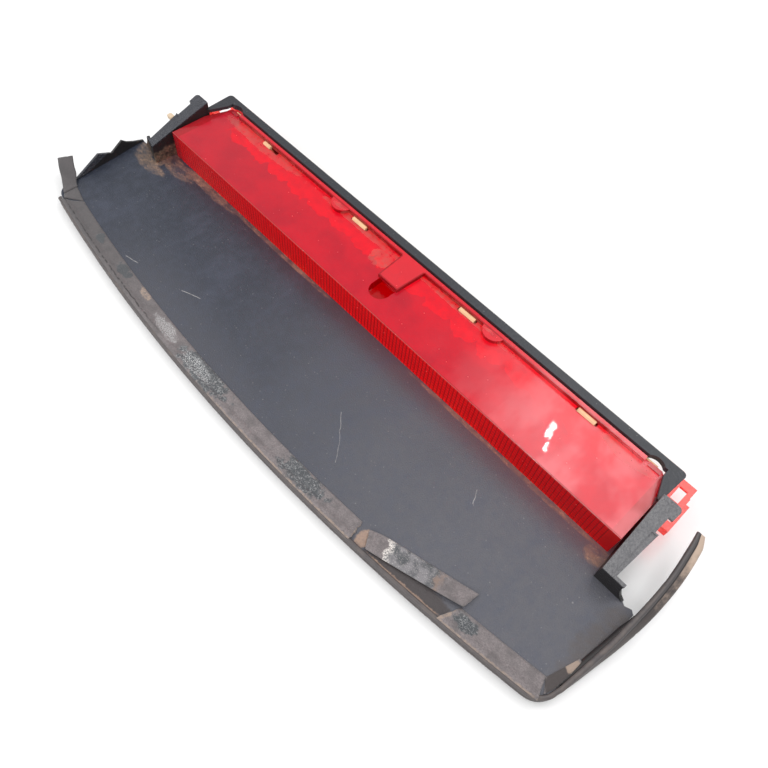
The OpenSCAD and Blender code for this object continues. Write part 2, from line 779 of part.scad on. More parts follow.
// Section of the strip: [thickness, depth], with a rounded outer face
trim_section = [[0, 0], [0.55, -0.02], [0.9, 0.06], [1, 0.2], [0.9, 0.5], [0.95, 0.85], [0.8, 1], [0, 1]];

function trim_ring(route, i) =
    let (p = route[i], a = route[max(i - 1, 0)], b = route[min(i + 1, len(route) - 1)],
         run = unit([b[0] - a[0], b[1] - a[1], b[2] - a[2]]), out = unit(cross(run, [0, 0, 1])),
         up = cross(out, run), roll = p[3], down = out * sin(roll) - up * cos(roll),
         face = out * cos(roll) + up * sin(roll))
    [for (s = trim_section) [p[0], p[1], p[2]] + face * s[0] * trim_t + down * s[1] * trim_h * p[4]];

// A solid through rings of m points each
module swept(rings) {
    n = len(rings);
    m = len(rings[0]);
    sides = [for (i = [0 : n - 2], j = [0 : m - 1])
                let (k = (j + 1) % m)
                let (a = i * m, b = a + m)
                each [[a + j, b + k, a + k], [a + j, b + j, b + k]]];
    last = (n - 1) * m;
    ends = [for (j = [1 : m - 2]) each [[0, j, j + 1], [last, last + j + 1, last + j]]];
    polyhedron(points = [for (ring = rings) each ring], faces = concat(sides, ends), convexity = 10);
}

module edge_trim() {
    route = trim_route();
    color([0.16, 0.14, 0.12])
        swept([for (i = [0 : len(route) - 1]) trim_ring(route, i)]);
}

// Felt tape on the front edge, in the lengths that are left of it
tape_in = 0.8;

function tape_band(x0, x1, cut0, cut1, n) =
    concat([for (i = [0 : n]) let (x = x0 + (x1 - x0) * i / n) [x, edge_y(x, tape_in)]],
           [for (i = [n : -1 : 0])
               let (x = x0 + cut0 + (x1 + cut1 - x0 - cut0) * i / n) [x, edge_y(x, tape_in + tape_w)]]);

module tape(pts) {
    color([0.36, 0.32, 0.28])
        slab(panel_z + skin, panel_z + skin + tape_t, pts);
}

tape_steps = 24;
inner_steps = 8;
tape_joint = 0.6;

// The strip was folded at the left corner, and its end stands out past the panel
fold_x = hx + 17;
fold_slant = 14.5;

// The loose end: distance out from the panel corner, distance behind it, rise and turn of the strip
loose = [[-9, 8.4, 0.1, 0], [-4, 10.4, 0.6, 0], [5, 15.6, 3, 15], [13, 19, 6, 22], [22, 23.8, 9, 26]];

module tape_loose_end() {
    corner = corner_at(0);
    z0 = panel_z + skin + tape_t;
    color([0.36, 0.32, 0.28])
        swept([for (p = loose)
                  let (c = [-corner[0] - p[0], corner[1] + p[1], z0 + p[2]],
                       half = [sin(p[3]), cos(p[3]), 0] * tape_w / 2, up = [0, 0, tape_t])
                  [c - half, c - half + up, c + half + up, c + half]]);
}

module tape_fold() {
    x0 = -fold_x - tape_joint;
    x1 = fold_slant - fold_x - tape_joint;
    corner = corner_at(0);
    tape([[x0, edge_y(x0, tape_in)], [x1, edge_y(x1, tape_in + tape_w)],
          [6 - corner[0], corner[1] + 15.5], [4 - corner[0], corner[1] + 5]]);
}

module tape_main() {
    band = tape_band(-fold_x, tear_x, fold_slant, -2.6, tape_steps);
    torn = [[-1.1, 0.4], [-3.2, 0.8]];
    tear = [for (p = torn) let (x = tear_x + p[0]) [x, edge_y(x, tape_in + p[1] * tape_w)]];
    tape(concat([for (i = [0 : tape_steps]) band[i]], tear,
                [for (i = [tape_steps + 1 : len(band) - 1]) band[i]]));
}

// The peeled length has turned about its torn end until it lies clear of the next length
module tape_peeled() {
    start = [peel_x, edge_y(peel_x, tape_in)];
    end = [peel_end_x, edge_y(peel_end_x, tape_in + tape_w + tape_joint)];
    along = unit(end - start);
    across = [-along[1], along[0]] * tape_w;
    tape([start, end, end + along * 5.5 + across, end - along * 20 + across * 1.12,
          start + along * 13 + across * 1.2, start - along * 4.5 + across]);
}

// The front length and the side length meet in a mitre at the right corner
function mitre() = corner_at(0) + [-4.8, 13.2];
corner_middle = corner_steps / 2 + 2;

// Its back corner lies where the peeled length has come clear of the tape line
module tape_right() {
    edge = half_edge(tape_in);
    inner_x = mitre()[0] - 3;
    clear_x = peel_x + (peel_end_x - peel_x) * tape_w / (tape_w + tape_joint) + tape_joint;
    inner = tape_band(rest_x, inner_x, clear_x - rest_x, 0, inner_steps);
    tape(concat([[rest_x, edge_y(rest_x, tape_in)]],
                [for (i = [0 : len(edge) - corner_middle]) if (edge[i][0] > rest_x) edge[i]], [mitre()],
                [for (i = [inner_steps + 1 : len(inner) - 1]) inner[i]]));
}

module tape_corner() {
    edge = half_edge(tape_in);
    end_y = mitre()[1] + side_tape_l;
    tape(concat([for (i = [len(edge) - corner_middle + 1 : len(edge) - 2]) edge[i]],
                [[side_x(end_y, tape_in), end_y], [side_x(end_y, tape_in + 2.5), end_y - 0.6],
                 mitre() + [tape_joint, tape_joint / 2]]));
}

// Beige pad left on the outer edge of the left end wall
module wall_pad() {
    y1 = pad_y + pad_l;
    x0 = -flange_edge(y1) - seat;
    z0 = wall_z(pad_y) - step_d;
    color([0.88, 0.74, 0.55])
        along_y(pad_y, y1, [[x0, z0], [x0, z0 - wall_t], [x0 - 6, z0 - wall_t - 1], [x0 - 7, z0 + 1]]);
}

shroud();
lens();
lamp_carrier();
led_board();
leds();
resistors();
diode();
board_screws();
lens_screws();
connector_socket();
connector_pins();
edge_trim();
tape_loose_end();
tape_fold();
tape_main();
tape_peeled();
tape_right();
tape_corner();
wall_pad();
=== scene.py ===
# %% [markdown]
# # A third brake light, dressed on its CAD frame
# The part is a long red lamp that sits in a moulded shroud behind a rear window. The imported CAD
# model gives every hard piece its shape and place. This script gives the pieces their finish and
# makes the soft ones anew: the felt tape on the front edge, the rubber lip round it and a small pad.

import json
import math

import bmesh
import bpy
import numpy as np
from mathutils import Matrix, Vector, noise


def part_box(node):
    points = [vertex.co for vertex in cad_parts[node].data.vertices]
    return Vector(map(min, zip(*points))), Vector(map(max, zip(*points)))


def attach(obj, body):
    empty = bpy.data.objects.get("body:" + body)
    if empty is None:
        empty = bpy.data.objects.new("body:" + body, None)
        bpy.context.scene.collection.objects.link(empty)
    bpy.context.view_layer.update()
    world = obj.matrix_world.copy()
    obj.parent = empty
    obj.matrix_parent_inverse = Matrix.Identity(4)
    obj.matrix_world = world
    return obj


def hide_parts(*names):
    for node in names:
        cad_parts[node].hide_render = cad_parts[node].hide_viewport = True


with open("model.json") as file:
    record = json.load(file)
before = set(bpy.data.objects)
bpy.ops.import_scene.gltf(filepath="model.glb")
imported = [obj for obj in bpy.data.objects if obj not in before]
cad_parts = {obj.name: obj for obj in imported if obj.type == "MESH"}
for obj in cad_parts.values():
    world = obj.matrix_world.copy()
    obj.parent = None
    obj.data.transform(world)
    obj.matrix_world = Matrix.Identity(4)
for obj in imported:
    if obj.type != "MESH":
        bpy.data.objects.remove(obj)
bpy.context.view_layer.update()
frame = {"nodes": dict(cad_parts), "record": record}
MM = 0.001
scene = bpy.context.scene

# %% [markdown]
# ## Camera
# The photograph was taken with a short lens from above the right front corner. The
# camera's place and the directions of its picture come from lines of the lens whose lengths are
# known. A matrix of those directions is safer than angles, because no order of turning matters.

# %% Camera
CAMERA_PLACE = Vector((240.91, -238.85, 476.46)) * MM
PICTURE_RIGHT = Vector((0.6823, 0.7283, 0.0637))
PICTURE_UP = Vector((-0.6480, 0.5622, 0.5138))
FOCAL_MM = 32.4

camera = bpy.data.objects.new("camera", bpy.data.cameras.new("camera"))
camera.data.lens = FOCAL_MM
camera.data.clip_start = 10 * MM
axes = Matrix((PICTURE_RIGHT, PICTURE_UP, PICTURE_RIGHT.cross(PICTURE_UP))).transposed()
camera.matrix_world = Matrix.Translation(CAMERA_PLACE) @ axes.to_4x4()
scene.collection.objects.link(camera)
scene.camera = camera
print("camera looks along", [round(c, 3) for c in -axes.col[2]])

# %% [markdown]
# ## Building blocks for node trees
# Materials and Geometry Nodes are both trees of nodes. A small class stands for a value that runs
# through such a tree, so that its sums and products can be written as plain arithmetic. Each later
# cell then reads as a recipe and not as wiring.

# %% Values that run through a tree
class Field:
    """A value in a node tree; arithmetic with fields adds the nodes for it."""

    def __init__(self, socket):
        self.socket = socket
        self.tree = socket.id_data

    def __add__(self, other):
        return calc("ADD", self, other)

    def __sub__(self, other):
        return calc("SUBTRACT", self, other)

    def __rsub__(self, other):
        return calc("SUBTRACT", other, self)

    def __mul__(self, other):
        return calc("MULTIPLY", self, other)

    def __truediv__(self, other):
        return calc("DIVIDE", self, other)

    def __pow__(self, other):
        return calc("POWER", self, other)

    def __abs__(self):
        return calc("ABSOLUTE", self)

    __radd__, __rmul__ = __add__, __mul__


def put(socket, value):
    """Links a field to a node's input, or sets the input to a plain value."""
    if isinstance(value, Field):
        value.tree.links.new(value.socket, socket)
    else:
        socket.default_value = value


def field(tree, kind, values=(), out=0, **settings):
    """What a new node puts out; values maps its inputs' names or numbers to what goes in."""
    made = tree.nodes.new(kind)
    for key, value in settings.items():
        setattr(made, key, value)
    for key, value in dict(values).items():
        put(made.inputs[key], value)
    return Field(made.outputs[out])


def tree_of(*values):
    """The tree of the first field among some values."""
    return next(value.tree for value in values if isinstance(value, Field))


# %% Helpers that work on fields
def calc(operation, *values):
    """A number worked out from numbers."""
    return field(tree_of(*values), "ShaderNodeMath", enumerate(values), operation=operation)


def most(first, second):
    """The larger of two numbers."""
    return calc("MAXIMUM", first, second)


def vector(operation, *values, out="Vector"):
    """A vector, or with out="Value" a number, worked out from vectors."""
    return field(tree_of(*values), "ShaderNodeVectorMath", enumerate(values), out, operation=operation)


def parts(place):
    """The x, y and z of a place."""
    first = field(place.tree, "ShaderNodeSeparateXYZ", {0: place})
    return [Field(socket) for socket in first.socket.node.outputs]


def in_cells(place, size):
    """A place counted in cells of a size."""
    return vector("DIVIDE", place, field(place.tree, "ShaderNodeCombineXYZ", dict.fromkeys(range(3), size)))


def rise(value, low, high):
    """0 below low, 1 above high and a smooth step between; it falls where low is above high."""
    return field(value.tree, "ShaderNodeMapRange", {0: value, 1: low, 2: high},
                 interpolation_type="SMOOTHSTEP")


def blend(share, first, second):
    """The first colour where share is 0 and the second where it is 1."""
    return field(share.tree, "ShaderNodeMix", {0: share, 6: first, 7: second}, 2, data_type="RGBA")


def cloud(place, size, detail=3.0, rough=0.55):
    """Soft cloudy noise, 0 to 1, whose lumps are about size millimetres wide."""
    return field(place.tree, "ShaderNodeTexNoise", {"Vector": place, "Scale": 1 / size, "Detail": detail,
                                                    "Roughness": rough}, "Fac")


def new_group(name, inputs, outputs, kind="ShaderNodeTree"):
    """An empty node group: the tree, the fields that it is given and its output sockets."""
    tree = bpy.data.node_groups.new(name, kind)
    for label, socket, value in inputs:
        item = tree.interface.new_socket(label, in_out="INPUT", socket_type="NodeSocket" + socket)
        if value is not None:
            item.default_value = value
    for label, socket in outputs:
        tree.interface.new_socket(label, in_out="OUTPUT", socket_type="NodeSocket" + socket)
    given = {socket.name: Field(socket) for socket in tree.nodes.new("NodeGroupInput").outputs}
    return tree, given, tree.nodes.new("NodeGroupOutput").inputs


def from_group(group, output, **values):
    """An output of a shader group, placed in the fields' tree with its own values."""
    made = field(tree_of(*values.values()), "ShaderNodeGroup", out=output, node_tree=group)
    for key, value in values.items():
        put(made.socket.node.inputs[key.replace("_", " ")], value)
    return made


print("helpers ready")

# %% [markdown]
# ## Effects that several finishes share
# Old car plastic shows the same few things everywhere: a moulded grain, pale specks of dust, fine
# scratches, and blots of dirt or wear with ragged edges. Each is one shader group that works in
# millimetres of the object's own space, so that a pattern stays put from every side.

# %% Grain of a moulded surface
GRAIN, given, result = new_group("Moulded grain", [("Place", "Vector", None), ("Cell", "Float", 1.0)],
                                 [("Height", "Float"), ("Tone", "Float")])
scaled = in_cells(given["Place"], given["Cell"])
pebble = field(GRAIN, "ShaderNodeTexVoronoi", {"Vector": scaled, "Scale": 1.0, "Smoothness": 0.6},
               "Distance", feature="SMOOTH_F1")
fine = field(GRAIN, "ShaderNodeTexNoise", {"Vector": scaled, "Scale": 2.3, "Detail": 3.0}, "Fac")
put(result["Height"], pebble + fine)
put(result["Tone"], rise(fine, 0.25, 0.75))

# %% Dust specks
SPECKS, given, result = new_group("Dust specks", [("Place", "Vector", None), ("Spacing", "Float", 6.0),
                                                  ("Size", "Float", 0.6)], [("Mask", "Float")])
spread = in_cells(given["Place"], given["Spacing"])
away = field(SPECKS, "ShaderNodeTexVoronoi", {"Vector": spread, "Scale": 1.0}, "Distance")
own_colour = Field(away.socket.node.outputs["Color"])
chance = field(SPECKS, "ShaderNodeSeparateColor", {0: own_colour}) ** 5.0
radius = chance * given["Size"] / given["Spacing"]
put(result["Mask"], rise(radius - away, 0.0, 0.03))

# %% A single scratch
SCRATCH, given, result = new_group("Scratch", [("Place", "Vector", None), ("Start", "Vector", None),
                                               ("End", "Vector", None), ("Width", "Float", 0.4)],
                                   [("Mask", "Float")])
waver = field(SCRATCH, "ShaderNodeTexNoise", {"Vector": given["Place"], "Scale": 0.12, "Detail": 1.0},
              "Color")
waver = vector("MULTIPLY", vector("SUBTRACT", waver, (0.5, 0.5, 0.5)), (2.0, 2.0, 0.0))
spot = vector("ADD", vector("MULTIPLY", given["Place"], (1.0, 1.0, 0.0)), waver)
along = vector("SUBTRACT", given["End"], given["Start"])
away = vector("SUBTRACT", spot, given["Start"])
whole = vector("DOT_PRODUCT", along, along, out="Value")
share = vector("DOT_PRODUCT", away, along, out="Value") / whole
inside = field(SCRATCH, "ShaderNodeClamp", {"Value": share})
foot = field(SCRATCH, "ShaderNodeVectorMath", {0: along, "Scale": inside}, operation="SCALE")
off = vector("DISTANCE", away, foot, out="Value")
gaps = field(SCRATCH, "ShaderNodeTexNoise", {"Vector": given["Place"], "Scale": 0.5, "Detail": 2.0},
             "Fac")
worn_through = rise(gaps, 0.2, 0.6)
put(result["Mask"], worn_through * (1.0 - rise(off / given["Width"], 0.3, 1.0)))

# %% A blot of dirt or wear
BLOT, given, result = new_group("Blot", [("Place", "Vector", None), ("Centre", "Vector", None),
                                         ("Half size", "Vector", (10.0, 10.0, 1000.0)),
                                         ("Ragged", "Float", 0.6), ("Lump", "Float", 4.0)],
                                [("Mask", "Float")])
lumps = in_cells(given["Place"], given["Lump"])
torn = field(BLOT, "ShaderNodeTexNoise", {"Vector": lumps, "Scale": 1.0, "Detail": 4.0}, "Fac")
reach = vector("LENGTH", vector("DIVIDE", vector("SUBTRACT", given["Place"], given["Centre"]),
                                given["Half size"]), out="Value")
edge = reach + (torn - 0.5) * given["Ragged"]
put(result["Mask"], rise(edge, 1.05, 0.75))


def blots(place, spots, ragged, lump):
    """The mask of ragged spots, each with a centre and a half size."""
    mask = 0.0
    for centre, half in spots:
        mask = most(mask, from_group(BLOT, "Mask", Place=place, Centre=centre, Half_size=half,
                                     Ragged=ragged, Lump=lump))
    return mask


print("shader groups:", [group.name for group in bpy.data.node_groups])

# %% [markdown]
# ## The curved front edge
# The panel's front edge is one long arc, and most marks on the real part follow it: the tape, its
# glue, the dirt behind the lip. A group that turns a place into its distance from that arc lets the
# panel and the felt share one ruler.

# %% Ruler along the front edge
PANEL_LOW = np.array(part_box("shroud")[0]) / MM
PANEL_TOP = 9.0
EDGE_R = 1764.0
EDGE_CY = PANEL_LOW[1] + EDGE_R


def edge_y(x, inset):
    """Y of the line that runs at a distance inside the front edge."""
    return EDGE_CY - math.sqrt((EDGE_R - inset) ** 2 - x * x)


INSET, given, result = new_group("Distance from the front edge", [("Place", "Vector", None)],
                                 [("Inset", "Float"), ("Edge place", "Vector")])
flat = vector("MULTIPLY", given["Place"], (1.0, 1.0, 0.0))
inset = EDGE_R - vector("DISTANCE", flat, (0.0, EDGE_CY, 0.0), out="Value")
put(result["Inset"], inset)
across_x = parts(given["Place"])[0]
put(result["Edge place"], field(INSET, "ShaderNodeCombineXYZ", {0: across_x, 1: inset}))
print("front edge at the middle:", round(edge_y(0, 0), 1), "mm; at x 280:", round(edge_y(280, 0), 1), "mm")


# %% A new material
def new_material(name, **constants):
    """A material with its Principled shader, and the object's own space in millimetres."""
    made = bpy.data.materials.new(name)
    made.use_nodes = True
    tree = made.node_tree
    shader = tree.nodes["Principled BSDF"]
    feed(shader, **constants)
    own = field(tree, "ShaderNodeTexCoord", out="Object")
    place = field(tree, "ShaderNodeVectorMath", {0: own, "Scale": 1 / MM}, operation="SCALE")
    return made, tree, shader, place


def feed(shader, **values):
    """Fields or plain values for a shader's inputs."""
    for key, value in values.items():
        put(shader.inputs[key.replace("_", " ")], value)


def bumped(height, depth):
    """A normal that follows a height of the given depth in millimetres."""
    return field(height.tree, "ShaderNodeBump", {"Height": height, "Distance": depth * MM})


# %% [markdown]
# ## Shroud plastic
# The shroud is a blue-grey moulding with a fine spark-eroded grain. Years on a sunny shelf left pale
# specks, a few long scratches, brown dirt where the lens meets the panel, and glue where tape came off. All
# of it is paint on one material, placed in millimetres from the photograph. Some light and shade is painted
# on it too: the panel is lighter to the right, the walls' faces are dark and the bare patch is darker as
# shadow.

# %% Shroud plastic
SHADED_PANEL_GREY = (0.011, 0.015, 0.025, 1)
LIT_DUSTY_GREY = (0.088, 0.086, 0.096, 1)
PALE_GREY = (0.050, 0.058, 0.088, 1)
WALL_SHADE_BLACK = (0.010, 0.009, 0.010, 1)
FRAME_BLACK = (0.019, 0.021, 0.027, 1)
LEFT_CAP = (0.034, 0.036, 0.046, 1)
CAP_HIGHLIGHT_GREY = (0.190, 0.186, 0.192, 1)
SIDE_BROWN = (0.072, 0.058, 0.053, 1)
CRUMB_TAN = (0.460, 0.300, 0.195, 1)
BROWN_DIRT = (0.235, 0.152, 0.102, 1)
OLD_GLUE = (0.300, 0.200, 0.150, 1)
SHADED_BARE_BROWN = (0.042, 0.034, 0.035, 1)
PALE_DUST = (0.50, 0.48, 0.46, 1)
PANEL_SCRATCHES = [((-184, -105, 0), (-171, -102, 0), 0.5), ((-122.6, -90.3, 0), (-106, -84, 0), 0.45),
                   ((52.6, -67, 0), (67, -80.5, 0), 0.28), ((67, -80.5, 0), (82, -98, 0), 0.25),
                   ((166.5, -35, 0), (172, -45, 0), 0.4)]
PANEL_DIRT = [((-286, -18, 12), (12, 9, 16)), ((-268, -27, 9), (22, 7, 14)), ((-246, -10, 9), (26, 9, 9)),
              ((-205, -4, 9), (40, 5, 9)), ((-110, -2, 9), (90, 2.5, 9)), ((120, -2, 9), (60, 2, 9)),
              ((205, -2, 9), (60, 2.6, 9)), ((256, -8, 9), (9, 9, 12)), ((-262, 4, 12), (6, 36, 12))]

shroud_plastic, tree, shader, place = new_material("shroud_plastic", IOR=1.5)
x, y, z = parts(place)
# Painted light mixed with a dust film: the panel gets lighter towards the right, where the sky is brighter,
# and stays darker at the left as painted shade.
film = rise(x + cloud(place, 70.0) * 160.0, -100.0, 330.0)
inset = from_group(INSET, "Inset", Place=place)
front_film = rise(inset, 75.0, 10.0) * rise(x, -260.0, -120.0)
film = most(film, front_film * 0.5)
colour = blend(film, SHADED_PANEL_GREY, LIT_DUSTY_GREY)
smears = rise(cloud(vector("MULTIPLY", place, (1.0, 0.45, 1.0)), 26.0, 5.0, 0.65), 0.48, 0.8)
colour = blend(smears * 0.55, colour, PALE_GREY)
mottled = rise(cloud(place, 7.0, 6.0, 0.72), 0.4, 0.72)
colour = blend(mottled * 0.35, colour, PALE_GREY)
fine_tone = from_group(GRAIN, "Tone", Place=place, Cell=0.9)
colour = blend(fine_tone * 0.42, colour, PALE_GREY)

# %% [markdown]
# The end walls and the frame are the same plastic. The walls' faces are painted almost black as shade,
# because no sun reaches them, and no dust lies on them. The tops at the right end are painted pale with
# grain highlights where they catch the sky, and at the left end the tops stay dark. The top of a wall is a
# slanted plane, so the height over that plane tells a top from a side.

# %% Shroud walls and frame
WALL_IN, WALL_LOW, WALL_RAMP, WALL_FRONT = 257.0, 29.0, 0.3175, -21.0
span_x = abs(x)
lit_right_end = rise(x, -10.0, 10.0)
over_wall = z - ((y - WALL_FRONT) * WALL_RAMP + WALL_LOW)
on_wall = rise(span_x, WALL_IN, WALL_IN + 1) * rise(z, 9.3, 9.9)
cap = on_wall * rise(over_wall, -1.5, -1.2)
# Painted highlight: the wall tops at the right end are painted pale, with grain highlights, as lit by the
# sky; at the left they keep the dark cap colour.
cap_grain_glints = rise(cloud(place, 1.6, 4.0, 0.6), 0.36, 0.66)
cap_highlight = cap_grain_glints * 0.26 + cloud(place, 12.0, 3.0) * 0.5 + 0.3
lit_cap_colour = blend(cap_highlight * lit_right_end, LEFT_CAP, CAP_HIGHLIGHT_GREY)
# Painted shade: the wall faces are painted almost black because no sun reaches them.
colour = blend(on_wall, colour, WALL_SHADE_BLACK)
colour = blend(cap, colour, lit_cap_colour)
in_frame = rise(z, 33.0, 33.5) * rise(y, 42.1, 42.6)
scuffed = rise(x, 120.0, 255.0) * rise(cloud(place, 4.0, 5.0, 0.7), 0.52, 0.72)
colour = blend(in_frame, colour, blend(scuffed, FRAME_BLACK, LEFT_CAP))
print("shroud walls: tops from", WALL_LOW, "mm at the front")

# %% Shroud dirt, glue and scratches
dirt = blots(place, PANEL_DIRT, 0.9, 12.0)
soft_dirt = rise(cloud(vector("MULTIPLY", place, (0.45, 1.0, 1.0)), 6.0, 7.0, 0.72), 0.3, 0.72)
crumbly = rise(cloud(vector("MULTIPLY", place, (0.6, 1.0, 1.0)), 2.0, 6.0, 0.78), 0.5, 0.64)
grime = dirt * (soft_dirt * 0.75)
colour = blend(grime, colour, BROWN_DIRT)
side_film = blots(place, [((300, -58, 9), (20, 42, 9))], 0.9, 12.0)
colour = blend(side_film * (soft_dirt * 0.5 + 0.3), colour, SIDE_BROWN)
colour = blend(dirt * crumbly * (soft_dirt * 0.5 + 0.1), colour, CRUMB_TAN)

along_edge = from_group(INSET, "Edge place", Place=place)
bare = blots(along_edge, [((180, 5, 0), (40, 9, 100))], 0.5, 3.0)
# The bare patch where felt came off is bare plastic, painted darker still as the shadow of the peeled felt
# beside it.
colour = blend(bare, colour, SHADED_BARE_BROWN)
glue = blots(along_edge, [((138.5, 6, 0), (6, 8.5, 100))], 0.5, 2.5)
glue_line = bare * rise(cloud(place, 2.5) * 3.0 + inset, 3.0, 2.0)
glue = most(glue, glue_line)
colour = blend(glue * (0.4 + cloud(place, 1.5)), colour, OLD_GLUE)

fine_dust = from_group(SPECKS, "Mask", Place=place, Spacing=2.4, Size=0.55) * 0.32
crumbs = from_group(SPECKS, "Mask", Place=place, Spacing=14.0, Size=1.1) * 0.5
marks = most(fine_dust, crumbs) * (1.0 - on_wall)
for start, end, width in PANEL_SCRATCHES:
    marks = most(marks, from_group(SCRATCH, "Mask", Place=place, Start=start, End=end, Width=width))
colour = blend(marks * 0.5, colour, PALE_DUST)

small_grain = from_group(GRAIN, "Height", Place=place, Cell=0.8)
leather = from_group(GRAIN, "Height", Place=place, Cell=1.9)
height = field(tree, "ShaderNodeMix", {0: rise(z, 12.0, 16.0), 2: small_grain, 3: leather})
height = height * (cap * 3.5 + 1.0)
roughness = 0.4 + cloud(place, 14.0) * 0.16
roughness = cap * -0.26 + roughness
feed(shader, Base_Color=colour, Roughness=roughness + grime * 0.3, Normal=bumped(height, 0.22))
print("shroud plastic:", len(tree.nodes), "nodes")

# %% [markdown]
# ## Red lens
# The lens is clear red acrylic whose top is frosted inside, so that the sun doesn't show the lamp.
# A frosted surface sends back half the light as red haze and lets the other half through, which
# here is a transmission of about a half. For the rays that go to lamps the shader is a plain red
# filter, because a glass shader would keep the cups behind it in the dark.

# %% Red lens
CLEAR_RED = (0.50, 0.000, 0.004, 1)
HOLLOW_RED = (0.80, 0.002, 0.026, 1)
HOLLOW_DIM = (0.60, 0.002, 0.026, 1)
HOLLOW_LIT = (1.00, 0.002, 0.030, 1)
CUP_GLOW_RED = (1.00, 0.002, 0.024, 1)
CUP_GLOW_DIM = (0.86, 0.004, 0.026, 1)
FACE_RED = (1.00, 0.000, 0.004, 1)
FACE_DIM = (0.62, 0.000, 0.004, 1)
LINE_RED = (0.22, 0.000, 0.002, 1)
LENS_DUST = (0.55, 0.24, 0.19, 1)
FILM_ROSE = (0.50, 0.060, 0.085, 1)
RAISED_TOP = (0.88, 0.030, 0.050, 1)
SHADED_RAISED_SIDE = (0.40, 0.000, 0.008, 1)
LUG_RED = (1.00, 0.110, 0.090, 1)
EDGE_HIGHLIGHT_PINK = (0.95, 0.42, 0.42, 1)
REFLECTION_PINK = (1.00, 0.25, 0.28, 1)
LENS_TOP = 36.6
FLUTE_END = 251.5
FLUTE_PITCH = 3.65
CELL_ROW = 3.5
CUP_PITCH = 28.69
TONGUE_Y, TONGUE_HALF, TONGUE_LEAN = 29.0, 11.0, 0.0685
RIM_Y = 58.2
CUP_END = 231.0
HOOKS, SLOT_HALF, SLOT_Y = (-186.0, -64.0, 64.0, 186.0), 9.75, (55.2, 58.2)
SLOT_SHADE = (0.030, 0.000, 0.002, 1)
LUG_X = 261.5
DUSTY_PLACES = [((-195, 54, 37), (60, 7, 5)), ((-60, 55, 37), (60, 4, 5)), ((-24, 44, 37), (12, 10, 5)),
                ((60, 56, 37), (60, 3, 5)), ((225, 54, 37), (26, 6, 5))]
RED_FILTER = (1.0, 0.10, 0.08, 1)

red_lens, tree, shader, place = new_material("red_lens", IOR=1.49, Transmission_Weight=0.5,
                                             Specular_IOR_Level=0.05, Coat_Roughness=0.02)
x, y, z = parts(place)
span_x = abs(x)
fluted = rise(span_x, FLUTE_END + 0.3, FLUTE_END - 0.3)
top = rise(z, LENS_TOP - 0.6, LENS_TOP - 0.2) * rise(y, 0.8, 1.4)
front = rise(y, 0.5, 0.2)
haze = cloud(place, 22.0, 4.0)
hollow = blend(rise(haze, 0.3, 0.7), HOLLOW_RED, HOLLOW_DIM)
# Painted light: the band is brighter towards the right end.
hollow = blend(rise(x, 20.0, 200.0) * 0.35, hollow, HOLLOW_LIT)

# %% [markdown]
# The cups behind the top are painted onto it as a bright band with a scalloped front edge, one lobe to a
# cup: a painted glow of the lit cups seen through the frosted plastic. They lie deep in the frosted
# plastic, so their edge is soft and a little torn. The band is worked out from the cups' pitch, and the
# front face gets the fine lines where its flutes meet.

# %% Red lens: cups and flutes seen through the plastic
between = 1.0 - calc("PINGPONG", x / CUP_PITCH, 0.5) * 2.0
lobe_edge = between ** 3.0 * 6.5 + 35.5
bubbles = field(tree, "ShaderNodeTexVoronoi", {"Vector": vector("MULTIPLY", place, (1.0, 1.0, 0.0)),
                                               "Scale": 1 / 6.5}, "Distance", feature="SMOOTH_F1")
lobe_edge = bubbles * 8.0 + (lobe_edge - 2.5)
over_cups = rise(y - lobe_edge, -0.4, 0.5) * rise(span_x, CUP_END + 2, CUP_END - 2)
cups = blend(rise(cloud(place, 7.0, 5.0, 0.65), 0.42, 0.66), CUP_GLOW_RED, CUP_GLOW_DIM)
colour = blend(top * fluted, CLEAR_RED, blend(over_cups, hollow, cups))
face = blend(rise(x, 80.0, 240.0), FACE_RED, FACE_DIM)
colour = blend(front * fluted, colour, face)
columns = calc("PINGPONG", x / FLUTE_PITCH, 0.5)
rows = calc("PINGPONG", z / CELL_ROW, 0.5)
cell_lines = most(rise(columns, 0.34, 0.46), rise(rows, 0.38, 0.46) * 0.8)
cell_lines = front * fluted * cell_lines
colour = blend(cell_lines * 0.85, colour, LINE_RED)

raised = rise(z, LENS_TOP + 0.2, LENS_TOP + 0.5)
# Painted shade: the sides of the raised rim and tongue are darker than their tops.
colour = blend(raised, colour, blend(rise(z, LENS_TOP + 3.4, LENS_TOP + 3.8), SHADED_RAISED_SIDE, RAISED_TOP))
flare = span_x - ((y - TONGUE_Y) * TONGUE_LEAN + TONGUE_HALF)
tongue_rim = most(rise(flare, -1.3, -0.9), rise(y, TONGUE_Y + 1.4, TONGUE_Y + 1.0))
on_tongue = rise(flare, 0.4, 0.2) * rise(y, RIM_Y, RIM_Y - 0.3)
rim_line = rise(y, RIM_Y + 1.3, RIM_Y + 0.9) * rise(flare, -0.2, 0.2)
rim_line = most(rim_line * rise(y, RIM_Y - 0.2, RIM_Y), on_tongue * tongue_rim)
colour = blend(raised * rim_line * 0.7, colour, LINE_RED)
colour = blend(rise(span_x, LUG_X, LUG_X + 0.5), colour, LUG_RED)
to_left = rise(x, -60.0, -260.0)
fine_film = rise(cloud(place, 1.4, 6.0, 0.7), 0.3, 0.75)
film = most(top, front * to_left) * (to_left * 0.18 + (fine_film * 0.26 + 0.04))
film = film * (rise(x, 190.0, 10.0) * 0.6 + 0.4)
film = film * (most(over_cups, cell_lines) * -0.75 + 1.0)
colour = blend(film, colour, FILM_ROSE)
dust = blots(place, DUSTY_PLACES, 0.9, 9.0)
dust = dust * rise(cloud(place, 5.0, 6.0, 0.7), 0.22, 0.8)
dust = most(dust * 0.58, from_group(SPECKS, "Mask", Place=place, Spacing=4.0, Size=0.6) * 0.35)
colour = blend(dust, colour, LENS_DUST)
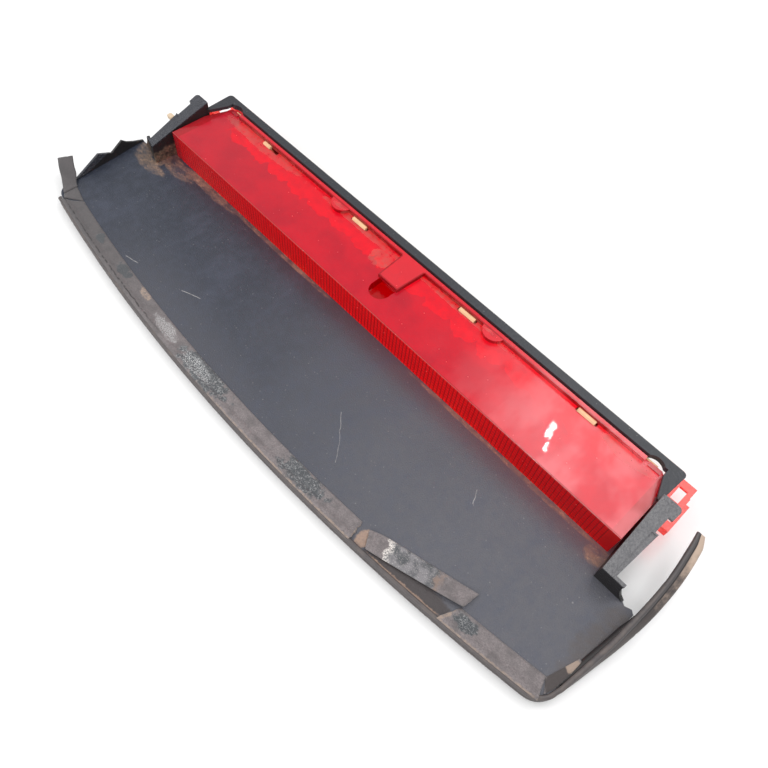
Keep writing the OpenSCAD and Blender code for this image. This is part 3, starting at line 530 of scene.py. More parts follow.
# Painted reflection: pink clouds of the sky's reflection on the right part of the top.
reflection_clouds = cloud(vector("MULTIPLY", place, (1.0, 0.6, 1.0)), 30.0, 3.0)
painted_reflection = top * rise(x, 40.0, 220.0) * rise(reflection_clouds, 0.38, 0.66)
colour = blend(painted_reflection * 0.6, colour, REFLECTION_PINK)
# Painted shade: the slots beside the hooks are painted nearly black inside.
for hook_x in HOOKS:
    beside = rise(abs(x - hook_x), SLOT_HALF + 0.3, SLOT_HALF + 0.1)
    in_slot = rise(y, SLOT_Y[0] - 0.2, SLOT_Y[0] - 0.1) * rise(y, SLOT_Y[1] + 0.2, SLOT_Y[1] + 0.1)
    in_slot = in_slot * rise(z, LENS_TOP + 0.1, LENS_TOP - 0.1)
    colour = blend(beside * in_slot, colour, SLOT_SHADE)
# Painted highlight: a thin pale pink line along the top's front edge.
edge_highlight = rise(y, 0.9, 0.3) * rise(z, LENS_TOP - 0.9, LENS_TOP - 0.3)
colour = blend(edge_highlight * 0.22, colour, EDGE_HIGHLIGHT_PINK)

frost = fluted * most(top, front)
roughness = frost * 0.14 + (0.1 + dust * 0.4)
ripple = cell_lines * 0.6 + cloud(place, 1.2)
polish = 1.0 - front
waves = bumped(cloud(place, 9.0, 2.0), 0.02)
feed(shader, Base_Color=colour, Roughness=roughness, Normal=bumped(ripple, 0.05), Coat_Normal=waves,
     Coat_Weight=polish * 0.13)
lamp_rays = field(tree, "ShaderNodeLightPath", out="Is Shadow Ray")
filtered = field(tree, "ShaderNodeBsdfTransparent", {"Color": RED_FILTER})
through = field(tree, "ShaderNodeMixShader", {0: lamp_rays, 1: Field(shader.outputs[0]), 2: filtered})
put(tree.nodes["Material Output"].inputs["Surface"], through)
print("red lens:", len(tree.nodes), "nodes")

# %% [markdown]
# ## Beige carrier, board and small electrics
# Behind the lens a beige moulding holds a row of cups with a light in each, on a green board. They
# show as a brighter band through the frosted top, and at the hooks on the rim. Their finishes are
# plain mouldings, lacquer and metal, so one maker with a few values serves them all.

# %% Small hard finishes
FINE_GRAIN = 0.02
# name, two tones, size of their clouds, roughness, share of metal
PLAIN_FINISHES = [
    ("beige_plastic", (0.74, 0.50, 0.28, 1), (0.62, 0.40, 0.22, 1), 9.0, 0.38, 0.0),
    ("board_green", (0.035, 0.130, 0.040, 1), (0.050, 0.175, 0.055, 1), 4.0, 0.30, 0.0),
    ("led_red", (0.62, 0.025, 0.030, 1), (0.75, 0.040, 0.040, 1), 2.0, 0.12, 0.0),
    ("resistor_body", (0.58, 0.42, 0.22, 1), (0.50, 0.34, 0.17, 1), 1.5, 0.30, 0.0),
    ("black_plastic", (0.016, 0.016, 0.018, 1), (0.030, 0.030, 0.032, 1), 5.0, 0.36, 0.0),
    ("steel", (0.62, 0.62, 0.63, 1), (0.48, 0.48, 0.50, 1), 1.5, 0.26, 1.0),
    ("brass", (0.82, 0.62, 0.28, 1), (0.66, 0.48, 0.22, 1), 1.5, 0.22, 1.0)]


def plain_finish(name, first, second, lump, rough, metal):
    """A moulded, lacquered or metal finish: two tones in clouds, dust in them and a slight grain."""
    made, tree, shader, place = new_material(name, Metallic=metal)
    clouds = cloud(place, lump, 4.0)
    colour = blend(rise(clouds, 0.3, 0.7), first, second)
    dusty = from_group(SPECKS, "Mask", Place=place, Spacing=3.5, Size=0.7) * 0.4
    colour = blend(dusty, colour, PALE_DUST)
    height = from_group(GRAIN, "Height", Place=place, Cell=0.5)
    feed(shader, Base_Color=colour, Normal=bumped(height, FINE_GRAIN), Roughness=rough + clouds * 0.15)
    return made


FINISHES = {row[0]: plain_finish(*row) for row in PLAIN_FINISHES}
FINISHES["shroud_plastic"], FINISHES["red_lens"] = shroud_plastic, red_lens
for subpart in frame["record"]["subparts"]:
    finish = FINISHES.get(subpart["material_slot"])
    if finish:
        part_mesh = frame["nodes"][subpart["node"]].data
        part_mesh.materials.clear()
        part_mesh.materials.append(finish)
print("CAD finishes:", sorted(FINISHES))

# %% [markdown]
# ## Felt tape
# Strips of thin felt were stuck along the front edge to keep it from rattling against the glass.
# They are fuzzy brown-grey, dark and shiny where the glass rubbed them, and tan where glue came
# through. Felt has no weave, so its look is fine noise at two sizes with a little sheen.

# %% Felt finish
FELT_DARK = (0.080, 0.074, 0.075, 1)
FELT_LIGHT = (0.275, 0.238, 0.240, 1)
FELT_TAN = (0.340, 0.255, 0.200, 1)
RUBBED = (0.052, 0.056, 0.062, 1)
GLITTER = (0.62, 0.62, 0.62, 1)
SOOT = (0.050, 0.042, 0.041, 1)
SHADED_FELT = (0.060, 0.057, 0.059, 1)
SEAM_DARK = (0.016, 0.014, 0.014, 1)
SEAM_INSET = 2.6
FELT_ROUGH, FELT_BUMP = 0.92, 0.35
RUBBED_PLACES = [((-43, 7, 0), (33, 10, 50)), ((75, 7, 0), (26, 8, 50)), ((-215, 9, 0), (6, 4, 50)),
                 ((-171, 9, 0), (11, 5, 50)), ((226, 8, 0), (9, 6, 50))]
TAN_PLACES = [((-138, 12, 0), (8, 4, 50)), ((211, 7, 0), (5, 9, 50)), ((132, 8, 0), (2.5, 8, 50))]


def felt_finish(name):
    """Plain felt, darker to the left; returns the parts of its tree for the marks of a length."""
    made, tree, shader, place = new_material(name, Sheen_Weight=0.25, Sheen_Roughness=0.5, IOR=1.4)
    fibres = field(tree, "ShaderNodeTexNoise", {"Vector": place, "Scale": 0.9, "Detail": 6.0,
                                                "Roughness": 0.75, "Distortion": 0.6}, "Fac")
    colour = blend(rise(fibres, 0.12, 0.88), FELT_DARK, FELT_LIGHT)
    colour = blend(rise(cloud(place, 9.0, 4.0), 0.42, 0.72) * 0.5, colour, FELT_DARK)
    shaded = rise(parts(place)[0], 0.0, -280.0)
    colour = blend(shaded * 0.8, colour, SHADED_FELT)
    return made, tree, shader, place, fibres, colour


felt_tape, tree, shader, place, fibres, colour = felt_finish("felt_tape")
along_edge = from_group(INSET, "Edge place", Place=place)
inset = from_group(INSET, "Inset", Place=place)
edge_x = parts(place)[0]
tan = rise(cloud(place, 4.0, 4.0) * 2.0 + inset, 0.6, -0.4)
tan = tan * rise(edge_x, -80.0, 20.0)
tan = most(tan, blots(along_edge, TAN_PLACES, 1.4, 3.0))
tan = tan * rise(cloud(place, 2.5, 5.0, 0.7), 0.32, 0.6)
sooty = blots(place, [((289.5, -92, 9), (7, 12, 9))], 0.5, 3.0)
colour = blend(sooty * 0.9, colour, SOOT)
corner_tan = blots(place, [((291, -78, 9), (5, 6, 9))], 0.7, 2.5)
colour = blend(most(tan, corner_tan) * 0.75, colour, FELT_TAN)
rubbed = blots(along_edge, RUBBED_PLACES, 1.8, 5.5)
rubbed = rubbed * rise(cloud(place, 3.0, 5.0, 0.7), 0.2, 0.42)
glint = cloud(place, 0.9, 4.0, 0.75)
shifted = field(tree, "ShaderNodeTexNoise", {"Vector": place, "Scale": 0.4, "Detail": 4.0}, "Color")
shifted = vector("ADD", place, vector("MULTIPLY", shifted, (5.0, 5.0, 5.0)))
crackle = field(tree, "ShaderNodeTexVoronoi", {"Vector": shifted, "Scale": 1 / 2.0}, "Distance",
                feature="DISTANCE_TO_EDGE")
crackle = rise(crackle, 0.14, 0.03) * rise(cloud(place, 2.2, 4.0, 0.7), 0.4, 0.62)
# Painted highlights: the sparkle and crackle on the rubbed places and the pale shiny patch are painted in
# glitter white, on real rubbed felt.
bright_core = blots(along_edge, [((-52, 6, 0), (22, 6, 50))], 1.2, 5.0)
sparkle = bright_core * rise(glint, 0.5, 0.62)
shiny = blend(most(sparkle, crackle * (rise(edge_x, -100.0, -80.0) * 0.36)), RUBBED, GLITTER)
pale = blots(along_edge, [((-98, 7, 0), (16, 6, 50))], 1.3, 7.0)
colour = blend(pale * rise(glint, 0.38, 0.68) * 0.6, colour, GLITTER)
colour = blend(rubbed, colour, shiny)
seam_place = cloud(place, 5.0, 5.0, 0.7) * 3.0 + inset
seam = rise(abs(seam_place - SEAM_INSET), 0.75, 0.35)
seam = seam * (rise(edge_x, -90.0, -130.0) * rise(cloud(place, 4.0, 3.0), 0.38, 0.52))
colour = blend(seam * 0.8, colour, SEAM_DARK)
height = fibres + rubbed * glint
roughness = FELT_ROUGH - rubbed * 0.5
feed(shader, Base_Color=colour, Roughness=roughness, Normal=bumped(height, FELT_BUMP))
print("felt tape:", len(tree.nodes), "nodes")

# %% [markdown]
# The peeled length shows its own story from end to end: felt, a white torn edge, a silvery rubbed middle
# with painted glints, a brown stain and felt again. Those marks follow the strip and not the panel, so they
# read its UV map, which runs from 0 to 1 along and across it.

# %% Peeled felt
SILVER_RUB = (0.180, 0.172, 0.182, 1)
TORN_AND_GLINT_WHITE = (0.70, 0.66, 0.62, 1)
STAIN = (0.230, 0.160, 0.125, 1)

felt_peeled, tree, shader, place, fibres, colour = felt_finish("felt_peeled")
strip = field(tree, "ShaderNodeUVMap", uv_map="strip")
run = parts(strip)[0]
run = run + (cloud(place, 6.0, 4.0) - 0.5) * 0.14
middle = rise(run, 0.2, 0.22) * rise(run, 0.7, 0.66)
colour = blend(middle, colour, blend(rise(cloud(place, 7.0, 5.0), 0.35, 0.65), RUBBED, SILVER_RUB))
torn = rise(run, 0.17, 0.2) * rise(run, 0.26, 0.21)
torn = torn * rise(cloud(place, 1.0, 4.0, 0.7), 0.4, 0.6)
colour = blend(torn, colour, TORN_AND_GLINT_WHITE)
stain = rise(run, 0.64, 0.69) * rise(run, 0.76, 0.7)
stain = stain * rise(cloud(place, 4.0, 4.0), 0.35, 0.6)
colour = blend(stain * 0.7, colour, STAIN)
# Painted glints on the silvery middle, in the same white as the torn edge.
glint = rise(cloud(place, 0.8, 4.0, 0.75), 0.54, 0.68)
colour = blend(glint * middle * 0.45, colour, TORN_AND_GLINT_WHITE)
roughness = FELT_ROUGH - middle * 0.5
feed(shader, Base_Color=colour, Roughness=roughness, Normal=bumped(fibres, FELT_BUMP))
print("peeled felt:", len(tree.nodes), "nodes")

# %% [markdown]
# The strips are thin closed sheets between two rails, one along the panel's edge and one behind it.
# Each gets a crowned section, soft edges, a ragged end where it was torn and slight waves, because
# old felt is never flat. The rails come from the edge's arc or from the CAD solid's own corners.

# %% Felt strips
FELT_T = 0.9
FELT_STEP = 1.0
FELT_ROWS = 14
TAPE_OUT = 1.8
TAPE_W = 16.1
SKIN = 0.05


def smooth_line(points, count):
    """Points evenly spaced along a smooth line through the given ones."""
    knots = [Vector(p) for p in points]
    knots = [2 * knots[0] - knots[1]] + knots + [2 * knots[-1] - knots[-2]]
    dense = []
    for a, b, c, d in zip(knots, knots[1:], knots[2:], knots[3:]):
        for t in np.linspace(0, 1, 24, endpoint=False):
            dense.append(0.5 * (2 * b + (c - a) * t + (2 * a - 5 * b + 4 * c - d) * t ** 2
                                + (3 * b - 3 * c + d - a) * t ** 3))
    dense = np.array([tuple(p) for p in dense + [knots[-2]]])
    reach = np.concatenate([[0], np.cumsum(np.linalg.norm(np.diff(dense, axis=0), axis=1))])
    even = np.linspace(0, reach[-1], count)
    return np.stack([np.interp(even, reach, dense[:, k]) for k in range(3)], axis=1)


def edge_rail(x0, x1, inset):
    """A rail along the front edge at a distance inside it."""
    z = PANEL_TOP + SKIN
    return [(x, edge_y(x, inset), z) for x in np.linspace(x0, x1, max(2, round(abs(x1 - x0) / 8)))]


def new_piece(name, points, faces, material):
    """A mesh object from points in millimetres, with smooth faces."""
    mesh = bpy.data.meshes.new(name)
    mesh.from_pydata([tuple(p) for p in np.asarray(points) * MM], [], faces)
    mesh.materials.append(material)
    mesh.shade_smooth()
    piece = bpy.data.objects.new(name, mesh)
    scene.collection.objects.link(piece)
    return piece


def ripple_at(p, size):
    """Noise between about -1 and 1 at a place, in lumps of the given size."""
    return noise.noise(Vector((p[0] / size, p[1] / size, p[2] / size)))


def felt_strip(name, front, back, material, lift=None, torn=(0, 0)):
    """A closed felt sheet between a front and a back rail, torn at its two ends by so many mm."""
    longest = max((sum(((Vector(b) - Vector(a)).length for a,
                        b in zip(line, line[1:]))) for line in (front, back)))
    count = max(8, round(longest / FELT_STEP))
    run = np.linspace(0, 1, count)[:, None, None]
    across = np.linspace(0, 1, FELT_ROWS)[None, :, None]
    under = smooth_line(front, count)[:, None] * (1 - across) + smooth_line(back, count)[:, None] * across
    step = np.gradient(under, axis=0)
    step /= np.linalg.norm(step, axis=2, keepdims=True)
    for j in range(FELT_ROWS):
        for end, sign in ((0, 1), (1, -1)):
            fade = np.clip(1 - np.abs(run[:, 0, 0] - end) * longest / 6, 0, 1)
            bite = torn[end] * (0.5 + 0.5 * ripple_at((j * 1.0, end * 40, 7.7), 2.3))
            under[:, j] += step[:, j] * (sign * bite * fade)[:, None]
    if lift:
        under[..., 2] += lift(run[..., 0], across[..., 0])
    normal = np.cross(np.gradient(under, axis=0), np.gradient(under, axis=1))
    normal /= np.linalg.norm(normal, axis=2, keepdims=True)
    side = 1 - np.abs(2 * across[..., 0] - 1) ** 8
    ends = 1 - np.abs(2 * run[..., 0] - 1) ** (2 * count)
    crown = FELT_T * (0.45 + 0.55 * side * ends)
    fuzz = np.array([[ripple_at(p, 3.0) + ripple_at(p, 0.9) * 0.6 for p in row] for row in under])
    over = under + normal * (crown + 0.10 * fuzz * side)[..., None]
    return stitched_sheet(name, over, under, material)


def stitched_sheet(name, over, under, material):
    """One closed mesh from an upper and a lower grid, with a UV map called strip on it."""
    count, rows = over.shape[:2]
    size = count * rows
    index = np.arange(size).reshape(count, rows)
    faces = []
    for i in range(count - 1):
        for j in range(rows - 1):
            a, b, c, d = (int(k) for k in (index[i, j], index[i + 1, j], index[i + 1, j + 1],
                                           index[i, j + 1]))
            faces += [(a, b, c, d), (size + d, size + c, size + b, size + a)]
    ring = [int(k) for k in (*index[:, 0], *index[-1, 1:], *index[-2::-1, -1], *index[0, -2:0:-1])]
    for a, b in zip(ring, ring[1:] + ring[:1]):
        faces.append((a, size + a, size + b, b))
    piece = new_piece(name, np.concatenate([over.reshape(-1, 3), under.reshape(-1, 3)]), faces, material)
    layer = piece.data.uv_layers.new(name="strip")
    for loop in piece.data.loops:
        i, j = divmod(loop.vertex_index % size, rows)
        layer.data[loop.index].uv = (i / (count - 1), j / (rows - 1))
    return piece


print("felt section:", FELT_T, "mm thick,", TAPE_W, "mm wide")

# %% [markdown]
# The main length runs from the fold at the left corner to the tear. The next length was peeled off
# and lies turned on the panel, with its ends and front edge curled up. The right length meets the
# side length in a mitre. At the left the strip was folded round the corner, and its free end sticks out.

# %% Lay the felt
FOLD_X, FOLD_SLANT = -277.0, 14.5
TEAR_X, TEAR_SLANT = 133.5, 2.6
Z0 = PANEL_TOP + SKIN


def torn_rail(x_front, x_back):
    """Both rails of a length on the edge, from front and back x at its left and right ends."""
    return edge_rail(x_front[0], x_front[1], -TAPE_OUT), edge_rail(x_back[0], x_back[1], TAPE_W - TAPE_OUT)


def flap_lift(run, across):
    """The peeled length stands off at its ends and along its front edge."""
    return 1.6 * (1 - across) ** 2 * (0.5 + run) + 1.6 * run ** 6 + 1.2 * (1 - run) ** 8


def bead_lift(run, across):
    """The felt climbs over the rubber lip along its front edge."""
    climb = np.clip((0.40 - across) / 0.22, 0, 1)
    return 1.6 * climb ** 2 * (3 - 2 * climb) - 0.5 * np.clip(1 - across / 0.08, 0, 1) + 0 * run


def main_lift(run, across):
    """The main length has also come loose a little at one place."""
    return bead_lift(run, across) + 0.25 * np.exp(-((run - 0.62) / 0.03) ** 2) * across


felt = {
    "tape_main": felt_strip(
        "felt_main", *torn_rail((FOLD_X, TEAR_X), (FOLD_X + FOLD_SLANT, TEAR_X - TEAR_SLANT)), felt_tape,
        lift=main_lift, torn=(0.2, 3.4)),
    "tape_right": felt_strip(
        "felt_right", *torn_rail((209.0, 288.4), (215.8, 283.2)), felt_tape,
        lift=bead_lift, torn=(2.0, 0)),
    "tape_peeled": felt_strip(
        "felt_peeled", [(144, -126.1, Z0), (180, -115.6, Z0), (218, -104.3, Z0)],
        [(136, -114.4, Z0), (151.9, -107.6, Z0), (194.5, -96.3, Z0), (219.4, -89.8, Z0)],
        felt_peeled, lift=flap_lift, torn=(1.6, 0.8)),
    "tape_fold": felt_strip(
        "felt_fold", [(-286.8, -103.7, Z0), (-277.6, -110.0, Z0)],
        [(-284.8, -93.2, Z0), (-263.1, -98.6, Z0)], felt_tape),
    "tape_corner": felt_strip(
        "felt_corner", [(288.9, -104.8, Z0), (291.6, -97, Z0), (293.2, -82, Z0), (294.0, -70.5, Z0)],
        [(283.3, -95.8, Z0), (286.6, -86, Z0), (289.4, -77, Z0), (291.3, -71, Z0)],
        felt_tape, torn=(0, 0.6)),
    "tape_loose_end": felt_strip(
        "felt_loose_end",
        [(-315.8, -90.9, 19), (-306.4, -95.9, 16), (-297.6, -99.6, 13), (-286.8, -105, 10.6),
         (-281.8, -107, 10.1)],
        [(-309.9, -78.8, 19), (-301.3, -83.4, 16), (-294.1, -86.5, 13), (-286.8, -91.5, 10.6),
         (-281.8, -93.5, 10.1)],
        felt_tape, torn=(0.8, 0)),
}
print("felt faces:", {node: len(piece.data.polygons) for node, piece in felt.items()})

# %% [markdown]
# ## Rubber lip
# A rubber strip is pressed over the panel's edge and stands a little above it. At the right it has
# come off, twists until its flat side faces up and rises in the air. A strip with one section
# along a path is what Geometry Nodes do well: the path carries its roll and width as attributes,
# and a noise cuts the nicks.

# %% Rubber finish
BEAD_GREY = (0.060, 0.053, 0.055, 1)
BEAD_DUST = (0.135, 0.108, 0.096, 1)
GROOVE_SHADE = (0.012, 0.010, 0.010, 1)
BAND_BROWN = (0.066, 0.052, 0.050, 1)
BAND_DARK = (0.028, 0.023, 0.023, 1)
TIP_LIT_TAN = (0.430, 0.325, 0.255, 1)

trim_rubber, tree, shader, place = new_material("trim_rubber", IOR=1.5)
depth = field(tree, "ShaderNodeAttribute", out="Fac", attribute_name="depth")
run = field(tree, "ShaderNodeAttribute", out="Fac", attribute_name="run")
to_tip = field(tree, "ShaderNodeAttribute", out="Fac", attribute_name="to_tip")
lane = field(tree, "ShaderNodeCombineXYZ", {0: run / 28.0, 1: depth * 7.0})
streaks = cloud(lane, 1.0, 5.0, 0.65)
patchy = cloud(place, 9.0, 5.0, 0.65)
bead = blend(rise(patchy, 0.3, 0.9) * rise(depth, 0.14, 0.02), BEAD_GREY, BEAD_DUST)
band = blend(rise(streaks, 0.3, 0.8), BAND_BROWN, BAND_DARK)
# Painted light: the tail turns paler tan towards its tip, where the twisted flat side faces the sky, broken
# into patches.
lit_tip_share = to_tip ** 2.0 + (patchy - 0.5) * 1.2
lit_tip_share = rise(lit_tip_share, 0.15, 0.85) * rise(to_tip, 0.05, 0.4)
band = blend(lit_tip_share, band, TIP_LIT_TAN)
colour = blend(rise(depth, 0.36, 0.44), bead, band)
# Painted shade in the groove between the bead and the band.
groove = rise(depth, 0.24, 0.31) * rise(depth, 0.44, 0.37)
colour = blend(groove * 0.9, colour, GROOVE_SHADE)
feed(shader, Base_Color=colour, Roughness=0.36 + patchy * 0.3,
     Normal=bumped(from_group(GRAIN, "Height", Place=place, Cell=0.7), 0.06))
print("trim rubber:", len(tree.nodes), "nodes")

# %% Node tree of the lip
LIP, given, result = new_group("Rubber lip", [
    ("Path", "Geometry", None), ("Section", "Object", None), ("Spacing", "Float", 1.5 * MM),
    ("Nick depth", "Float", 0.2 * MM), ("Nick size", "Float", 5 * MM), ("Rubber", "Material", None)],
    [("Lip", "Geometry")], "GeometryNodeTree")


def attribute(tree, name):
    """A named attribute of the geometry, as a number."""
    return field(tree, "GeometryNodeInputNamedAttribute", {"Name": name}, "Attribute",
                 data_type="FLOAT")


path = field(LIP, "GeometryNodeMeshToCurve", {"Mesh": given["Path"]})
path = field(LIP, "GeometryNodeResampleCurve", {"Curve": path, "Length": given["Spacing"]},
             mode="LENGTH")
path = field(LIP, "GeometryNodeSetCurveNormal", {"Curve": path}, mode="Z_UP")
path = field(LIP, "GeometryNodeSetCurveTilt", {"Curve": path, "Tilt": attribute(LIP, "roll")})
section = field(LIP, "GeometryNodeObjectInfo", {"Object": given["Section"]}, "Geometry")
section = field(LIP, "GeometryNodeMeshToCurve", {"Mesh": section})
lip = field(LIP, "GeometryNodeCurveToMesh", {"Curve": path, "Profile Curve": section,
                                             "Scale": attribute(LIP, "share"), "Fill Caps": True})
spot = field(LIP, "GeometryNodeInputPosition")
spot = in_cells(spot, given["Nick size"])
lumps = field(LIP, "ShaderNodeTexNoise", {"Vector": spot, "Scale": 1.0, "Detail": 3.0}, "Fac")
cut = rise(lumps, 0.58, 0.7) * given["Nick depth"]
inward = field(LIP, "ShaderNodeVectorMath", {0: field(LIP, "GeometryNodeInputNormal"),
                                             "Scale": cut * -1.0}, operation="SCALE")
lip = field(LIP, "GeometryNodeSetPosition", {"Geometry": lip, "Offset": inward})
lip = field(LIP, "GeometryNodeSetShadeSmooth", {"Geometry": lip})
lip = field(LIP, "GeometryNodeRealizeInstances", {"Geometry": lip})
lip = field(LIP, "GeometryNodeSetMaterial", {"Geometry": lip, "Material": given["Rubber"]})
put(result["Lip"], lip)
print("lip tree:", len(LIP.nodes), "nodes")


# %% Grow a piece from a node tree
def wire(name, points, closed=False, **attributes):
    """A line of edges through points in millimetres, with a number at each point per attribute."""
    mesh = bpy.data.meshes.new(name)
    links = [(i, i + 1) for i in range(len(points) - 1)] + ([(len(points) - 1, 0)] if closed else [])
    mesh.from_pydata([tuple(c * MM for c in p) for p in points], links, [])
    for key, values in attributes.items():
        mesh.attributes.new(key, "FLOAT", "POINT").data.foreach_set("value", values)
    made = bpy.data.objects.new(name, mesh)
    scene.collection.objects.link(made)
    return made


def grown(name, base, tree, **values):
    """The plain mesh piece that a node tree makes of a base object, which goes away."""
    modifier = base.modifiers.new(tree.name, "NODES")
    modifier.node_group = tree
    sockets = {item.name: item.identifier for item in tree.interface.items_tree if item.in_out == "INPUT"}
    for key, value in values.items():
        modifier[sockets[key.replace("_", " ")]] = value
    shaped = base.evaluated_get(bpy.context.evaluated_depsgraph_get())
    piece = bpy.data.objects.new(name, bpy.data.meshes.new_from_object(shaped))
    piece.data.name = name
    scene.collection.objects.link(piece)
    bpy.data.objects.remove(base)
    return piece


# %% Path of the lip
LIP_GAP, LIP_TOP, LIP_T, LIP_D = 0.25, 10.2, 3.4, 10.2
LIP_R = 14.0 + LIP_GAP
LIP_SECTION = [(0, 0), (0.4, -0.03), (0.75, 0.0), (0.95, 0.08), (1, 0.17), (0.95, 0.26), (0.8, 0.33),
               (0.84, 0.42), (0.92, 0.6), (0.93, 0.8), (0.85, 0.95), (0.6, 1), (0, 1)]
LEG_SECTION = [(0.15, 0.12), (-1.20, 0.26), (-1.25, 0.34), (0.15, 0.28)]
LEG_START, LEG_END, LEG_TAPER, LEG_DEPTH = 6.0, 71.0, 12.0, 0.34
SIDE_X, SIDE_Y, SIDE_LEAN = 291.0, -106.8, 0.09434
TIP_RUN = 95.0
# distance behind the rounded corner, reach past the panel's edge, rise, roll in degrees, share of the width
LIP_TAIL = [(4, 0.6, 0.2, 4, 1.03), (18, 0.9, 1.6, 12, 1.05), (34, 0.9, 4.4, 20, 1.05),
            (50, 0.6, 8.2, 30, 1.05), (64, -0.4, 11.4, 41, 1.05), (76, -1.2, 13.4, 49, 1.02),
            (89, -2.2, 15.2, 55, 0.98), (102, -3.8, 17.2, 60, 0.96), (114, -6.0, 19.2, 64, 0.95),
            (126, -8.8, 21.2, 66, 0.94), (135, -11.0, 22.8, 68, 0.9), (143, -13.2, 24.2, 70, 0.62)]


def side_x(y):
    """X of the panel's right edge, which leans out to the back, plus the lip's gap."""
    return SIDE_X + (y - SIDE_Y) * SIDE_LEAN + LIP_GAP


corner = next(Vector((side_x(y), y, 0)) for y in np.arange(-100, -120, -0.05)
              if edge_y(side_x(y), -LIP_GAP) >= y)
along_front = (Vector((corner.x - 40, edge_y(corner.x - 40, -LIP_GAP), 0)) - corner).normalized()
along_side = (Vector((side_x(-22), -22, 0)) - corner).normalized()
bend = along_front.angle(along_side)
set_back = LIP_R / math.tan(bend / 2)
centre = corner + (along_front + along_side).normalized() * LIP_R / math.sin(bend / 2)
start, end = corner + along_front * set_back - centre, corner + along_side * set_back - centre
round_corner = [centre + start.slerp(end, t).normalized() * LIP_R for t in np.linspace(0, 1, 16)]
front_x = np.linspace(-round_corner[0].x, round_corner[0].x, 160)
front_run = [Vector((x, edge_y(x, -LIP_GAP), 0)) for x in front_x]
route = [(p.x, p.y, LIP_TOP, 0.0, 1.0) for p in front_run[:-1] + round_corner]
tail = smooth_line([(d, reach, rise_mm) for d, reach, rise_mm, roll, share in LIP_TAIL], 60)
distances = [row[0] for row in LIP_TAIL]
for d, reach, rise_mm in tail:
    y = round_corner[-1].y + d
    roll = np.interp(d, distances, [row[3] for row in LIP_TAIL])
    route.append((side_x(y) + reach, y, LIP_TOP + rise_mm, roll,
                  np.interp(d, distances, [row[4] for row in LIP_TAIL])))


def section_wire(name, points, depth):
    """The closed outline of a strip, from shares of the lip's thickness and depth."""
    return wire(name, [(t * LIP_T, d * LIP_D, 0) for t, d in points], closed=True, depth=depth)


def path_wire(name, rows, share, run, to_tip):
    """The path of a strip through rows of the route, with what varies along it."""
    return wire(name, [row[:3] for row in rows], roll=[-math.radians(row[3]) for row in rows],
                share=share, run=run, to_tip=to_tip)


steps = np.linalg.norm(np.diff([row[:3] for row in route], axis=0), axis=1)
reached = np.concatenate([[0], np.cumsum(steps)])
section = section_wire("lip_section", LIP_SECTION, [d for t, d in LIP_SECTION])
path = path_wire("lip_path", route, [row[4] for row in route], reached,
                 np.clip(1 - (reached[-1] - reached) / TIP_RUN, 0, 1))
lip = grown("rubber_lip", path, LIP, Section=section, Rubber=trim_rubber)
side_start = round_corner[-1].y
leg_rows = [row for row in route if side_start + LEG_START < row[1] < side_start + LEG_END]
nothing = [0.0] * len(leg_rows)
leg_section = section_wire("leg_section", LEG_SECTION, [LEG_DEPTH] * len(LEG_SECTION))
leg_share = [min(1.0, (side_start + LEG_END - row[1]) / LEG_TAPER) for row in leg_rows]
leg_path = path_wire("leg_path", leg_rows, leg_share, nothing, nothing)
leg = grown("rubber_leg", leg_path, LIP, Section=leg_section, Rubber=trim_rubber)
for outline in (section, leg_section):
    bpy.data.objects.remove(outline)
print("rubber lip:", len(lip.data.polygons), "faces, box",
      [[round(c / MM, 1) for c in p] for p in (np.min([v.co for v in lip.data.vertices], axis=0),
                                               np.max([v.co for v in lip.data.vertices], axis=0))])

# %% [markdown]
# ## Pad on the left wall
# A scrap of beige felt is stuck to the outer edge of the left end wall. It is a soft block, so it is
# a subdivided cube pressed towards a rounded form, crowned in the middle and slack at its corners.

# %% Wall pad
pad_felt, tree, shader, place = new_material("beige_pad", Sheen_Weight=0.2)
fluff = cloud(place, 0.6, 5.0, 0.7)
feed(shader, Base_Color=blend(fluff, (0.42, 0.3, 0.19, 1), (0.74, 0.6, 0.44, 1)),
     Roughness=0.75 + fluff * 0.2, Normal=bumped(fluff, 0.25))

pad_low, pad_high = (np.array(corner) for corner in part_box("wall_pad"))
block = bmesh.new()
bmesh.ops.create_cube(block, size=2.0)
bmesh.ops.subdivide_edges(block, edges=block.edges, cuts=9, use_grid_fill=True)
for vert in block.verts:
    c = vert.co
    rounded = c / (sum(abs(v) ** 5 for v in c) ** 0.2)
    vert.co = Vector((pad_low + pad_high) / 2) + Vector((pad_high - pad_low) / 2) * rounded * (
        1 - 0.05 * abs(ripple_at(c, 0.5)))
mesh = bpy.data.meshes.new("wall_pad_felt")
block.to_mesh(mesh)
block.free()
mesh.materials.append(pad_felt)
mesh.shade_smooth()
pad = bpy.data.objects.new("wall_pad_felt", mesh)
scene.collection.objects.link(pad)
print("pad:", [round(c / MM, 1) for c in pad_high - pad_low], "mm")

# %% [markdown]
# ## Floor and light
# A pale floor and soft light keep the attention on the part. The sky gives even light, one large
# soft box above and behind the right end gives the bright reflection on the lens, and the colours
# are shown as they are measured, with no film look.

# %% Floor and light
FLOOR_HALF, FLOOR_Z = 3.0, -0.3
pale_floor, tree, shader, place = new_material("pale_floor", Roughness=0.8)
feed(shader, Base_Color=blend(cloud(place, 60.0), (0.8, 0.8, 0.8, 1), (0.83, 0.83, 0.83, 1)))
floor = new_piece("floor", [(x * FLOOR_HALF / MM, y * FLOOR_HALF / MM, FLOOR_Z)
                            for x, y in ((-1, -1), (1, -1), (1, 1), (-1, 1))], [(0, 1, 2, 3)], pale_floor)

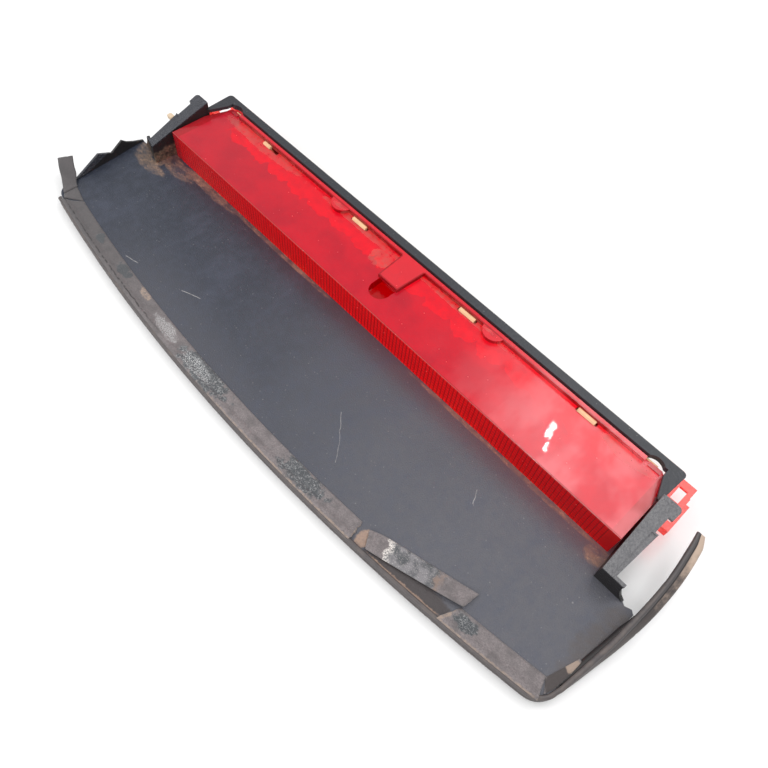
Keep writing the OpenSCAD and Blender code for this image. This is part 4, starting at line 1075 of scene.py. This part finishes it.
world = bpy.data.worlds.new("soft_sky")
world.use_nodes = True
world.node_tree.nodes["Background"].inputs["Color"].default_value = (1.0, 1.0, 1.0, 1)
world.node_tree.nodes["Background"].inputs["Strength"].default_value = 0.80
scene.world = world


def soft_box(name, place, target, size, radiance):
    """An area lamp of a size in metres, turned to a target, as bright as its radiance says."""
    lamp = bpy.data.lights.new(name, "AREA")
    lamp.shape = "RECTANGLE"
    lamp.size, lamp.size_y = size
    lamp.energy = radiance * size[0] * size[1] * math.pi
    made = bpy.data.objects.new(name, lamp)
    made.location = place
    made.rotation_euler = (Vector(target) - Vector(place)).to_track_quat("-Z", "Y").to_euler()
    scene.collection.objects.link(made)
    return made


soft_box("sky_right", (0.20, 0.65, 1.06), (0.10, 0.0, 0.0), (0.62, 0.50), 3.9)
soft_box("sky_above", (0.36, 0.10, 1.12), (0.20, 0.0, 0.0), (0.70, 0.60), 2.2)
soft_box("fill_front", (0.15, -1.30, 0.70), (0.0, 0.0, 0.02), (1.10, 0.60), 4.0)
soft_box("sky_left", (-0.75, -0.45, 0.95), (-0.15, 0.0, 0.0), (0.60, 0.60), 3.2)
soft_box("glint", (0.0315, 0.6125, 1.0), (0.175, 0.028, 0.0366), (0.011, 0.036), 250.0)
soft_box("small_glint", (0.0511, 0.5688, 1.0), (0.181, 0.014, 0.0366), (0.010, 0.020), 300.0)
scene.view_settings.view_transform = "Standard"
print("lights:", [item.name for item in bpy.data.lights])

# %% [markdown]
# ## Fasten everything to the part
# Nothing on this part moves, so every new piece rides on the one body, and the CAD solid that it stands for
# is hidden.

# %% Ride and replace
FELT_CUT = {"tape_main": (16, 405), "tape_right": (16, 76), "tape_peeled": (14.5, 84),
            "tape_fold": (13.5, 17), "tape_corner": (10, 34), "tape_loose_end": (13.5, 38)}
for node, piece in felt.items():
    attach(piece, "root")
    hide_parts(node)
    width, length = (side * MM for side in FELT_CUT[node])
    "folded" if node == "tape_fold" else "laid"
for piece, node, slot in ((lip, "edge_trim", "trim_rubber"), (leg, "edge_trim", "trim_rubber"),
                          (pad, "wall_pad", "beige_pad")):
    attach(piece, "root")
    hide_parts(node)
